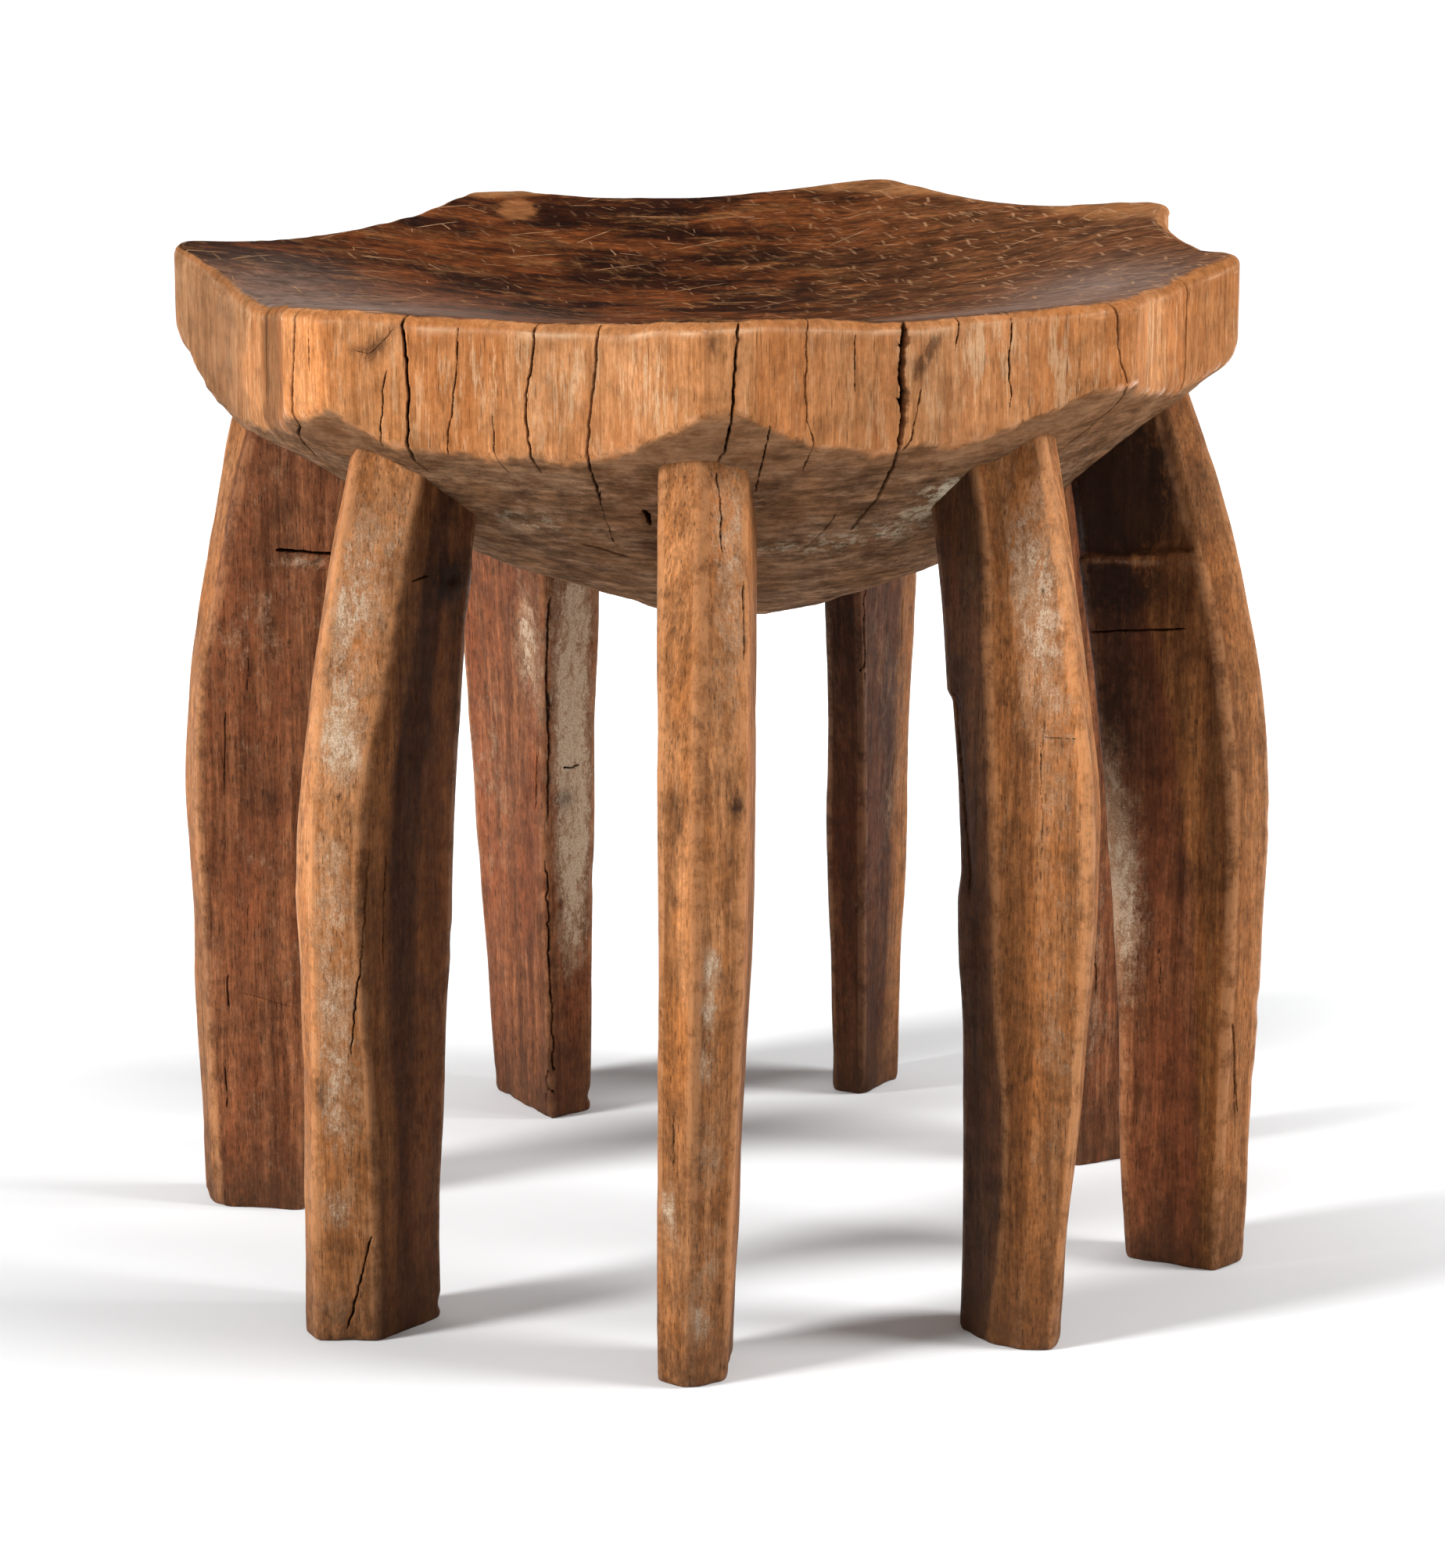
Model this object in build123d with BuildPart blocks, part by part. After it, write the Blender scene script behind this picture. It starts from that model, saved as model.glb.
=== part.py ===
# Carved eight-legged stool: dished seat block with a scalloped rim, eight bowed legs tenoned into its underside.
# Millimetres, +Z up, origin on the floor under the middle of the whole outline.
import math
import os

from build123d import *

os.makedirs("parts", exist_ok=True)

# ---------------------------------------------------------------- driving dimensions
AXIS = (2.337, 5.280)    # the seat's own axis, measured from the middle of the outline
RIM_Z = 448.3            # height of the rim at a corner, on the axis plane
RIM_TILT_X = 0.83        # the rim plane leans, degrees up towards +X
RIM_TILT_Y = 0.34        # and degrees up towards +Y
BLANK_TOP = 470.0        # block height before the dish is taken out
RIM_EASE = 3.0           # worn chamfer round the rim
TIP_ROUND = 6.0          # rounding of the corner tips, seen from above

# corners of the seat, counter-clockwise: azimuth in degrees, radius, width of the blunt tip
CORNERS = [
    (-90.0, 240, 14), (-46.8, 239, 22), (-10.5, 229, 16), (33.2, 241, 12),
    (71.0, 239, 11), (118.3, 239, 19), (174.0, 245, 14), (225.8, 243, 12),
]
# hollow of the scallop after each corner: azimuth, radius
HOLLOWS = [
    (-69.0, 208), (-29.0, 218), (11.5, 209), (53.0, 216),
    (95.0, 210), (146.0, 204), (199.5, 211), (247.5, 207),
]
# underside of the bowl as rings: height, radius, shift of the centre in X
RINGS = [
    (288, 30, 4), (298, 60, 3), (318, 110, 0), (341, 150, -4),
    (363, 180, -7), (387, 208, -9), (404, 228, -10), (424, 252, -10),
]
# dish: radius, height relative to the rim
DISH = [(0, -27.8), (60, -24.9), (120, -17.3), (180, -8.5), (207, -4.8), (238, 0.0), (262, 4.2)]

# the rim sags between the left and the front-left corner
SAG_AZ = -160.0          # direction of the sag
SAG_Z = 432.5            # lowest line of the sag
SAG_RADIUS = 560.0

# stub tenons, one on each leg
TENON_THICK = 18.0       # across the leg
TENON_WIDE = 32.0        # along the radius
TENON_R = 193.0          # distance of the tenon centre from the axis
TENON_FOOT_Z = 330.0     # tenon starts inside the leg
TENON_TOP_Z = 406.0      # and ends inside the seat
EDGE = 3.0               # worn edges of the legs

LEG_Z = [0, 50, 100, 150, 200, 250, 300, 350, 405]

# legs: azimuth, then for each height the section corners (radial, tangential), ridge first and round
FRONT_AZ = -92.5
FRONT = [
    [(239, -3.5), (228, 11), (193, 12), (193, -14), (230, -17)],
    [(241, -3), (231, 13), (190, 14), (190, -14), (232, -17)],
    [(243, -2), (233, 15), (188, 16), (188, -14), (234, -16.5)],
    [(245, -1), (235, 17), (186, 18), (186, -14), (236, -16)],
    [(247, 0), (237, 18.5), (183, 20), (183, -14), (238, -15.5)],
    [(245, 0), (235, 19), (179, 21), (179, -14), (236, -15.5)],
    [(237, 1), (226, 19), (174, 21), (174, -15), (228, -16)],
    [(225, 1), (214, 19), (167, 21), (167, -15), (216, -16.5)],
    [(206, 1), (198, 19), (150, 21), (150, -15), (199, -17)],
]
FRONT_LEFT_AZ = -134.0
FRONT_LEFT = [
    [(249, -2), (231, 15), (195, 8), (193, -15), (242, -17)],
    [(249.5, -2), (232, 16), (195, 10), (193, -15), (242, -16)],
    [(249, -1), (233, 16), (192, 12), (190, -16), (241, -16)],
    [(249, 0), (237, 16), (188, 13), (186, -17), (242, -16)],
    [(250, 0), (239, 16), (184, 14), (182, -18), (244, -16)],
    [(246, -1), (233, 16), (179, 14), (177, -18), (238, -17)],
    [(238, -3), (218, 16), (174, 15), (172, -19), (228, -18)],
    [(224, -5), (207, 17), (168, 16), (166, -20), (214, -19)],
    [(206, -6), (190, 18), (150, 17), (150, -20), (198, -19)],
]
LEFT_AZ = 173.0
LEFT = [
    [(242.5, -2), (233, 16), (194, 17), (194, -15), (232, -16)],
    [(244, -1), (235, 17), (192, 17), (192, -15), (234, -16)],
    [(246, 0), (236, 18), (190, 18), (190, -16), (236, -17)],
    [(246.5, 0), (238, 18), (187, 18), (187, -17), (238, -18)],
    [(247.5, 0), (239, 19), (184, 19), (184, -18), (239, -18)],
    [(245, 0), (236, 19), (179, 19), (179, -18), (236, -18)],
    [(237.5, 0), (225, 19), (173, 19), (173, -19), (226, -19)],
    [(228, 0), (214, 19), (166, 20), (166, -19), (214, -19)],
    [(213, 0), (198, 19), (150, 20), (150, -19), (198, -19)],
]
BACK_LEFT_AZ = 116.0
BACK_LEFT = [
    [(240, 0), (231, 13), (173, 9), (180, -15), (230, -16)],
    [(242, 0), (233, 15), (173, 10), (180, -16), (232, -16)],
    [(244, 0), (235, 18), (173, 11), (180, -17), (234, -17)],
    [(246, 0), (237, 20), (172, 12), (179, -18), (236, -18)],
    [(247, 0), (239, 22), (171, 12), (178, -18), (238, -18)],
    [(245, 0), (237, 24), (169, 13), (175, -19), (235, -19)],
    [(238, 0), (228, 24), (166, 14), (171, -19), (226, -19)],
    [(226, 0), (216, 24), (162, 15), (164, -19), (214, -19)],
    [(210, 0), (198, 24), (150, 15), (150, -19), (198, -19)],
]
BACK_AZ = 72.0
BACK = [
    [(246, 0), (238, 12), (208, 9), (204, -7), (238, -14)],
    [(247, 0), (239, 13), (204, 9), (200, -8), (239, -16)],
    [(248, 0), (240, 14), (199, 9), (196, -9), (240, -17)],
    [(248, 0), (240, 15), (195, 9), (192, -10), (240, -18)],
    [(248, 0), (240, 16), (190, 8), (187, -11), (240, -20)],
    [(245, -1), (236, 16), (186, 8), (182, -11), (236, -23)],
    [(237, -2), (227, 16), (180, 7), (177, -12), (227, -25)],
    [(225, -3), (215, 16), (172, 7), (170, -13), (215, -26)],
    [(208, -3), (199, 16), (152, 7), (150, -14), (199, -26)],
]
BACK_RIGHT_AZ = 28.5
BACK_RIGHT = [
    [(240, 0), (230, 16), (184, 14), (184, -15), (230, -16)],
    [(242, 0), (232, 16), (183, 14), (183, -15), (232, -16)],
    [(244, 0), (234, 17), (182, 15), (182, -16), (234, -16)],
    [(246, 0), (236, 17), (180, 16), (180, -17), (236, -17)],
    [(247, 0), (238, 18), (178, 17), (178, -18), (238, -18)],
    [(245, 0), (236, 18), (175, 18), (175, -18), (236, -18)],
    [(237, 0), (227, 19), (171, 18), (171, -19), (227, -19)],
    [(225, 0), (215, 19), (165, 19), (165, -19), (215, -19)],
    [(208, 0), (199, 19), (150, 19), (150, -19), (199, -19)],
]
RIGHT_AZ = -16.0
RIGHT = [
    [(243, 0), (232, 13), (194, 12), (193, -11), (235, -19)],
    [(245, 1), (234, 14), (191, 13), (191, -14), (236, -18)],
    [(246.5, 2), (236, 15), (189, 14), (189, -16), (237, -17)],
    [(248, 3), (238, 17), (186, 15), (186, -16), (238, -16)],
    [(250, 3), (240, 18), (183, 17), (182, -16), (238, -15)],
    [(247.5, 3), (237, 19), (178, 18), (177, -16), (234, -15)],
    [(238, 3), (227, 20), (172, 19), (170, -16), (226, -15)],
    [(225, 3), (215, 20), (165, 19), (163, -16), (211, -15)],
    [(206, 3), (199, 20), (150, 19), (150, -16), (195, -15)],
]
FRONT_RIGHT_AZ = -52.0
FRONT_RIGHT = [
    [(236, -5), (225, 9), (190, 11), (190, -18), (212, -21), (226, -17)],
    [(239, -3), (230, 11), (192, 12), (192, -19), (218, -19), (229, -14)],
    [(243, 0), (236, 13), (192, 13), (192, -19), (219, -19), (230, -12)],
    [(246, 2), (240, 14), (190, 14), (190, -19), (213, -19), (228, -10)],
    [(250, 3), (242, 16), (187, 15), (187, -19), (211, -19), (226, -9)],
    [(249, 3), (239, 17), (183, 16), (183, -19), (208, -19), (223, -9)],
    [(241, 3), (229, 17), (177, 17), (177, -19), (204, -19), (212, -9)],
    [(227, 3), (216, 17), (169, 18), (170, -19), (201, -19), (204, -9)],
    [(209, 3), (199, 17), (152, 18), (152, -19), (188, -19), (190, -9)],
]


def polar(azimuth, radius, side=0.0):
    """Point at an azimuth and radius, shifted sideways (counter-clockwise positive)."""
    a = math.radians(azimuth)
    return (
        AXIS[0] + radius * math.cos(a) - side * math.sin(a),
        AXIS[1] + radius * math.sin(a) + side * math.cos(a),
    )


def level(azimuth, z):
    """Horizontal sketch plane at height z whose X axis points outwards along the azimuth."""
    a = math.radians(azimuth)
    return Plane(origin=(AXIS[0], AXIS[1], z), x_dir=(math.cos(a), math.sin(a), 0), z_dir=(0, 0, 1))


# ---------------------------------------------------------------- seat block, still without mortises
with BuildPart() as seat_blank:
    # bowl-shaped underside, its centre drifting sideways with height
    for ring_z, ring_r, ring_x in RINGS:
        with BuildSketch(Plane.XY.offset(ring_z)):
            with Locations((AXIS[0] + ring_x, AXIS[1])):
                Circle(ring_r)
    loft()
    with BuildSketch(Plane.XY.offset(RINGS[-1][0])):
        with Locations((AXIS[0] + RINGS[-1][2], AXIS[1])):
            Circle(RINGS[-1][1])
    extrude(amount=BLANK_TOP - RINGS[-1][0])
    # vertical scalloped rim: eight blunt corners joined by hollow arcs
    with BuildSketch(Plane.XY.offset(RINGS[0][0] - 5)):
        with BuildLine():
            for i, (az, radius, tip) in enumerate(CORNERS):
                naz, nradius, ntip = CORNERS[(i + 1) % len(CORNERS)]
                haz, hradius = HOLLOWS[i]
                Line(polar(az, radius, -tip / 2), polar(az, radius, tip / 2))
                ThreePointArc(polar(az, radius, tip / 2), polar(haz, hradius), polar(naz, nradius, -ntip / 2))
        make_face()
        fillet(vertices(), radius=TIP_ROUND)
    extrude(amount=BLANK_TOP - RINGS[0][0] + 10, mode=Mode.INTERSECT)
    # dish taken out of the top, leaning with the rim plane
    rim_plane = Plane(origin=(AXIS[0], AXIS[1], RIM_Z)).rotated((RIM_TILT_Y, -RIM_TILT_X, 0))
    side_plane = Plane(origin=rim_plane.origin, x_dir=rim_plane.x_dir, z_dir=-rim_plane.y_dir)
    with BuildSketch(side_plane):
        with BuildLine():
            Spline(*DISH, tangents=[(1, 0), (1, 0.17)])
            Polyline(DISH[-1], (DISH[-1][0] + 20, 45), (0, 45), DISH[0])
        make_face()
    revolve(axis=Axis(origin=rim_plane.origin, direction=rim_plane.z_dir), mode=Mode.SUBTRACT)
    # worn edge all round the rim
    rim_edges = edges().filter_by(lambda e: e.center().Z > 436)
    chamfer(rim_edges, length=RIM_EASE)
    # sagging stretch of the rim
    sag_out = (math.cos(math.radians(SAG_AZ)), math.sin(math.radians(SAG_AZ)), 0)
    sag_plane = Plane(
        origin=(AXIS[0] + 110 * sag_out[0], AXIS[1] + 110 * sag_out[1], SAG_Z + SAG_RADIUS),
        x_dir=(-sag_out[1], sag_out[0], 0), z_dir=sag_out,
    )
    with BuildSketch(sag_plane):
        Circle(SAG_RADIUS)
    extrude(amount=180, mode=Mode.SUBTRACT)

# ---------------------------------------------------------------- legs
with BuildPart() as leg_front:
    for z, corners in zip(LEG_Z, FRONT):
        with BuildSketch(level(FRONT_AZ, z)):
            with BuildLine():
                Polyline(*corners, close=True)
            make_face()
            fillet(vertices(), radius=EDGE)
    loft()
    add(seat_blank.part, mode=Mode.SUBTRACT)
    with BuildSketch(level(FRONT_AZ, TENON_FOOT_Z)):
        with Locations((TENON_R, 2)):
            Rectangle(TENON_WIDE, TENON_THICK)
    extrude(amount=TENON_TOP_Z - TENON_FOOT_Z)
leg_front.part.label = "leg_front"

with BuildPart() as leg_front_left:
    for z, corners in zip(LEG_Z, FRONT_LEFT):
        with BuildSketch(level(FRONT_LEFT_AZ, z)):
            with BuildLine():
                Polyline(*corners, close=True)
            make_face()
            fillet(vertices(), radius=EDGE)
    loft()
    add(seat_blank.part, mode=Mode.SUBTRACT)
    with BuildSketch(level(FRONT_LEFT_AZ, TENON_FOOT_Z)):
        with Locations((TENON_R - 3, -1)):
            Rectangle(TENON_WIDE, TENON_THICK)
    extrude(amount=TENON_TOP_Z - TENON_FOOT_Z)
leg_front_left.part.label = "leg_front_left"

with BuildPart() as leg_left:
    for z, corners in zip(LEG_Z, LEFT):
        with BuildSketch(level(LEFT_AZ, z)):
            with BuildLine():
                Polyline(*corners, close=True)
            make_face()
            fillet(vertices(), radius=EDGE)
    loft()
    add(seat_blank.part, mode=Mode.SUBTRACT)
    with BuildSketch(level(LEFT_AZ, TENON_FOOT_Z)):
        with Locations((TENON_R, 0)):
            Rectangle(TENON_WIDE, TENON_THICK)
    extrude(amount=TENON_TOP_Z - TENON_FOOT_Z)
    # short saw kerf in the front side
    with BuildSketch(level(LEFT_AZ, 309)):
        with Locations((190, 18)):
            Rectangle(44, 9)
    extrude(amount=1.6, mode=Mode.SUBTRACT)
leg_left.part.label = "leg_left"

with BuildPart() as leg_back_left:
    for z, corners in zip(LEG_Z, BACK_LEFT):
        with BuildSketch(level(BACK_LEFT_AZ, z)):
            with BuildLine():
                Polyline(*corners, close=True)
            make_face()
            fillet(vertices(), radius=EDGE)
    loft()
    add(seat_blank.part, mode=Mode.SUBTRACT)
    with BuildSketch(level(BACK_LEFT_AZ, TENON_FOOT_Z)):
        with Locations((TENON_R, 1)):
            Rectangle(TENON_WIDE, TENON_THICK)
    extrude(amount=TENON_TOP_Z - TENON_FOOT_Z)
leg_back_left.part.label = "leg_back_left"

with BuildPart() as leg_back:
    for z, corners in zip(LEG_Z, BACK):
        with BuildSketch(level(BACK_AZ, z)):
            with BuildLine():
                Polyline(*corners, close=True)
            make_face()
            fillet(vertices(), radius=EDGE)
    loft()
    add(seat_blank.part, mode=Mode.SUBTRACT)
    with BuildSketch(level(BACK_AZ, TENON_FOOT_Z)):
        with Locations((TENON_R + 4, -3)):
            Rectangle(TENON_WIDE - 4, TENON_THICK - 2)
    extrude(amount=TENON_TOP_Z - TENON_FOOT_Z)
leg_back.part.label = "leg_back"

with BuildPart() as leg_back_right:
    for z, corners in zip(LEG_Z, BACK_RIGHT):
        with BuildSketch(level(BACK_RIGHT_AZ, z)):
            with BuildLine():
                Polyline(*corners, close=True)
            make_face()
            fillet(vertices(), radius=EDGE)
    loft()
    add(seat_blank.part, mode=Mode.SUBTRACT)
    with BuildSketch(level(BACK_RIGHT_AZ, TENON_FOOT_Z)):
        with Locations((TENON_R, 0)):
            Rectangle(TENON_WIDE, TENON_THICK)
    extrude(amount=TENON_TOP_Z - TENON_FOOT_Z)
leg_back_right.part.label = "leg_back_right"

with BuildPart() as leg_right:
    for z, corners in zip(LEG_Z, RIGHT):
        with BuildSketch(level(RIGHT_AZ, z)):
            with BuildLine():
                Polyline(*corners, close=True)
            make_face()
            fillet(vertices(), radius=EDGE)
    loft()
    # stepped recess left by the saw on the front side, from a ledge up to the seat
    with BuildSketch(level(RIGHT_AZ, 321)):
        with Locations((184, -16)):
            Rectangle(64, 7)
    extrude(amount=90, mode=Mode.SUBTRACT)
    add(seat_blank.part, mode=Mode.SUBTRACT)
    with BuildSketch(level(RIGHT_AZ, TENON_FOOT_Z)):
        with Locations((TENON_R, 3)):
            Rectangle(TENON_WIDE, TENON_THICK)
    extrude(amount=TENON_TOP_Z - TENON_FOOT_Z)
leg_right.part.label = "leg_right"

with BuildPart() as leg_front_right:
    for z, corners in zip(LEG_Z, FRONT_RIGHT):
        with BuildSketch(level(FRONT_RIGHT_AZ, z)):
            with BuildLine():
                Polyline(*corners, close=True)
            make_face()
            fillet(vertices(), radius=EDGE - 1)
    loft()
    add(seat_blank.part, mode=Mode.SUBTRACT)
    with BuildSketch(level(FRONT_RIGHT_AZ, TENON_FOOT_Z)):
        with Locations((TENON_R - 4, 1)):
            Rectangle(TENON_WIDE, TENON_THICK)
    extrude(amount=TENON_TOP_Z - TENON_FOOT_Z)
leg_front_right.part.label = "leg_front_right"

# ---------------------------------------------------------------- seat with its eight blind mortises
with BuildPart() as seat:
    add(seat_blank.part)
    for az, r, side, wide, thick in [
        (FRONT_AZ, TENON_R, 2, TENON_WIDE, TENON_THICK),
        (FRONT_LEFT_AZ, TENON_R - 3, -1, TENON_WIDE, TENON_THICK),
        (LEFT_AZ, TENON_R, 0, TENON_WIDE, TENON_THICK),
        (BACK_LEFT_AZ, TENON_R, 1, TENON_WIDE, TENON_THICK),
        (BACK_AZ, TENON_R + 4, -3, TENON_WIDE - 4, TENON_THICK - 2),
        (BACK_RIGHT_AZ, TENON_R, 0, TENON_WIDE, TENON_THICK),
        (RIGHT_AZ, TENON_R, 3, TENON_WIDE, TENON_THICK),
        (FRONT_RIGHT_AZ, TENON_R - 4, 1, TENON_WIDE, TENON_THICK),
    ]:
        with BuildSketch(level(az, TENON_FOOT_Z)):
            with Locations((r, side)):
                Rectangle(wide, thick)
        extrude(amount=TENON_TOP_Z - TENON_FOOT_Z, mode=Mode.SUBTRACT)
seat.part.label = "seat"

# ---------------------------------------------------------------- files
export_step(seat.part, "parts/seat.step")
export_step(leg_front.part, "parts/leg_front.step")
export_step(leg_front_left.part, "parts/leg_front_left.step")
export_step(leg_left.part, "parts/leg_left.step")
export_step(leg_back_left.part, "parts/leg_back_left.step")
export_step(leg_back.part, "parts/leg_back.step")
export_step(leg_back_right.part, "parts/leg_back_right.step")
export_step(leg_right.part, "parts/leg_right.step")
export_step(leg_front_right.part, "parts/leg_front_right.step")
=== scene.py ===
import bmesh
import bpy
import math
import numpy as np
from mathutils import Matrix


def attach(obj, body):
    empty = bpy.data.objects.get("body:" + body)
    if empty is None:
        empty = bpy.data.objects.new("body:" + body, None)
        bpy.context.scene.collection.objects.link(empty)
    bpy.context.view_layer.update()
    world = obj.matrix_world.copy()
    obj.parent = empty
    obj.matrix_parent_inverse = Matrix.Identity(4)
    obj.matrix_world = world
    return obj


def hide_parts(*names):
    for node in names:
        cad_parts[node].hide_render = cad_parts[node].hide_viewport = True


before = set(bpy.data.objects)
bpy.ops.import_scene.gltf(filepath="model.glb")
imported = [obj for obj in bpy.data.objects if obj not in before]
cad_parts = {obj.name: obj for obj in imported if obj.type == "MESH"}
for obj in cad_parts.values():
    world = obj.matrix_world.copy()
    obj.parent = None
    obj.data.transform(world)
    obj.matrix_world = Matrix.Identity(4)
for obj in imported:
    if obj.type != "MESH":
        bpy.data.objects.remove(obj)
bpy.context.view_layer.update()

# ---------------------------------------------------------------- noise
def lattice(ix, iy, iz, seed):
    """Pseudo-random value in -1..1 for each lattice point."""
    m = np.int64(0xFFFFFFFF)
    h = (ix * 73856093 ^ iy * 19349663 ^ iz * 83492791 ^ (seed * 2654435761)) & m
    h ^= h >> 15
    h = (h * 0x2C1B3C6D) & m
    h ^= h >> 12
    h = (h * 0x297A2D39) & m
    h ^= h >> 15
    return (h & 0xFFFFFF) / 8388607.5 - 1.0


def noise(p, seed=0):
    """Smooth value noise, -1..1, at points p (..., 3)."""
    i = np.floor(p)
    f = p - i
    i = i.astype(np.int64)
    u = f * f * f * (f * (f * 6 - 15) + 10)
    x, y, z = i[..., 0], i[..., 1], i[..., 2]
    a, b, c = u[..., 0], u[..., 1], u[..., 2]
    out = 0
    for dx, wx in ((0, 1 - a), (1, a)):
        for dy, wy in ((0, 1 - b), (1, b)):
            for dz, wz in ((0, 1 - c), (1, c)):
                out = out + wx * wy * wz * lattice(x + dx, y + dy, z + dz, seed)
    return out


def fbm(p, octaves=3, seed=0, gain=0.5):
    out, amp, tot = 0, 1.0, 0.0
    for k in range(octaves):
        out = out + amp * noise(p * 2.03**k + 17.3 * k, seed + 11 * k)
        tot += amp
        amp *= gain
    return out / tot


def smooth(a, b, x):
    t = np.clip((x - a) / (b - a), 0, 1)
    return t * t * (3 - 2 * t)


def hermite(xk, yk, x):
    """Smooth curve through the knots, with slopes averaged from the chords on each side."""
    xk, yk = np.asarray(xk, float), np.asarray(yk, float)
    h = np.diff(xk)
    d = np.diff(yk, axis=0) / h.reshape(-1, *([1] * (yk.ndim - 1)))
    m = np.zeros_like(yk)
    m[0], m[-1] = d[0], d[-1]
    m[1:-1] = (d[:-1] + d[1:]) / 2
    j = np.clip(np.searchsorted(xk, x, side="right") - 1, 0, len(xk) - 2)
    t = (x - xk[j]) / h[j]
    if yk.ndim > 1:
        t = t.reshape(*t.shape, *([1] * (yk.ndim - 1)))
        hj = h[j].reshape(*t.shape)
    else:
        hj = h[j]
    t2, t3 = t * t, t * t * t
    return (2 * t3 - 3 * t2 + 1) * yk[j] + (t3 - 2 * t2 + t) * hj * m[j] + (3 * t2 - 2 * t3) * yk[j + 1] + (t3 - t2) * hj * m[j + 1]


# ---------------------------------------------------------------- seat block, mm, about its own axis
CORNERS = [
    (-90.0, 240, 14), (-46.8, 239, 22), (-10.5, 229, 16), (32.6, 244.5, 12),
    (71.0, 239, 11), (118.3, 239, 19), (174.0, 246.4, 13), (223.0, 238, 30),
]
HOLLOWS = [
    (-69.0, 208), (-29.0, 218), (11.5, 209), (53.0, 216),
    (95.0, 210), (146.0, 204), (199.5, 211), (247.5, 207),
]
RINGS = [
    (288, 30, 4), (298, 60, 3), (318, 110, 0), (341, 150, -4),
    (363, 180, -7), (387, 208, -9), (404, 228, -10), (424, 252, -10), (446, 280, -10),
]
DISH = [(0, -27.8), (60, -24.9), (120, -17.3), (180, -8.5), (207, -4.8), (238, 0.0), (262, 4.2)]
RIM_Z, TX, TY = 448.3, 0.0145, 0.006
# height of the rim's outer edge round the seat
RIM = [
    (-90.0, 451.9), (-80, 448.6), (-69.0, 444.6), (-58, 446.7), (-46.8, 450.6), (-38, 449.0), (-29.0, 447.6),
    (-18, 450.3), (-10.5, 452.3), (-2, 450.2), (5, 450.6), (11.5, 452.0), (18, 453.0), (24, 453.4), (33.2, 453.7), (43, 450.4), (53.0, 449.4),
    (62, 452.0), (71.0, 453.7), (83, 449.6), (95.0, 446.7), (107, 447.3), (118.3, 449.9), (132, 446.6), (146.0, 444.4),
    (160, 444.4), (168, 446.4), (174.0, 448.6), (179, 444.2), (183, 440.0), (190, 434.0), (199.5, 433.2), (203, 435.6), (209, 439.0),
    (216, 443.2), (220, 444.7), (223, 446.0), (225.5, 446.8), (228, 447.0), (230, 446.2), (232.6, 445.1), (239.4, 444.3), (248.3, 443.9), (259, 446.4), (270.0, 451.9),
]


def polar(az, r, side=0.0):
    a = math.radians(az)
    return np.array([r * math.cos(a) - side * math.sin(a), r * math.sin(a) + side * math.cos(a)])


def arc3(p0, p1, p2, n):
    a, b = p0 - p1, p0 - p2
    e, f = (p0 @ p0 - p1 @ p1) / 2, (p0 @ p0 - p2 @ p2) / 2
    det = a[0] * b[1] - a[1] * b[0]
    c = np.array([(b[1] * e - a[1] * f) / det, (-b[0] * e + a[0] * f) / det])
    t0, tm, t1 = (math.atan2(*(q - c)[::-1]) for q in (p0, p1, p2))
    tm += 2 * math.pi * round((t0 - tm) / (2 * math.pi))
    t1 += 2 * math.pi * round((tm - t1) / (2 * math.pi))
    t = np.linspace(t0, t1, n)
    return c + math.dist(p0, c) * np.c_[np.cos(t), np.sin(t)]


def outline_radius(az):
    """Radius of the scalloped outline at azimuths az, degrees."""
    pts = []
    for i, (a, r, w) in enumerate(CORNERS):
        b, s, v = CORNERS[(i + 1) % len(CORNERS)]
        pts.append(polar(a, r, -w / 2)[None])
        pts.append(arc3(polar(a, r, w / 2), polar(*HOLLOWS[i]), polar(b, s, -v / 2), 40))
    p = np.concatenate(pts)
    d = np.concatenate([p, p[:1]])
    # dense resample along straight runs
    q = np.concatenate([d[i] + (d[i + 1] - d[i]) * np.linspace(0, 1, 6)[:-1, None] for i in range(len(p))])
    ang = np.degrees(np.arctan2(q[:, 1], q[:, 0])) % 360
    rad = np.hypot(q[:, 0], q[:, 1])
    o = np.argsort(ang)
    grid = np.arange(0, 360, 0.1)
    r = np.interp(grid, ang[o], rad[o], period=360)
    for _ in range(60):  # worn tips
        r = (np.roll(r, 1) + 2 * r + np.roll(r, -1)) / 4
    return np.interp(np.asarray(az) % 360, grid, r, period=360)


def bowl_z(x, y):
    """Height of the bowl's underside above (x, y)."""
    rz, rr, rc = (np.array(RINGS, float)[:, k] for k in range(3))
    zz = np.linspace(rz[0], rz[-1], 600)
    fr, fc = hermite(rz, rr, zz), hermite(rz, rc, zz)
    lo, hi = np.full(np.shape(x), rz[0]), np.full(np.shape(x), rz[-1])
    for _ in range(24):
        m = (lo + hi) / 2
        inside = np.hypot(x - np.interp(m, zz, fc), y) < np.interp(m, zz, fr)
        hi, lo = np.where(inside, m, hi), np.where(inside, lo, m)
    return (lo + hi) / 2


def rim_height(az):
    a, z = np.array(RIM).T
    a3, z3 = np.r_[a[:-1] - 360, a, a[1:] + 360], np.r_[z[:-1], z, z[1:]]
    grid = np.arange(-180, 181, 0.25)
    r = hermite(a3, z3, grid)
    for _ in range(16):
        r = np.r_[r[-2], r, r[1]]
        r = (r[:-2] + 2 * r[1:-1] + r[2:]) / 4
    return np.interp((np.asarray(az) + 180) % 360 - 180, grid, r)


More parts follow.
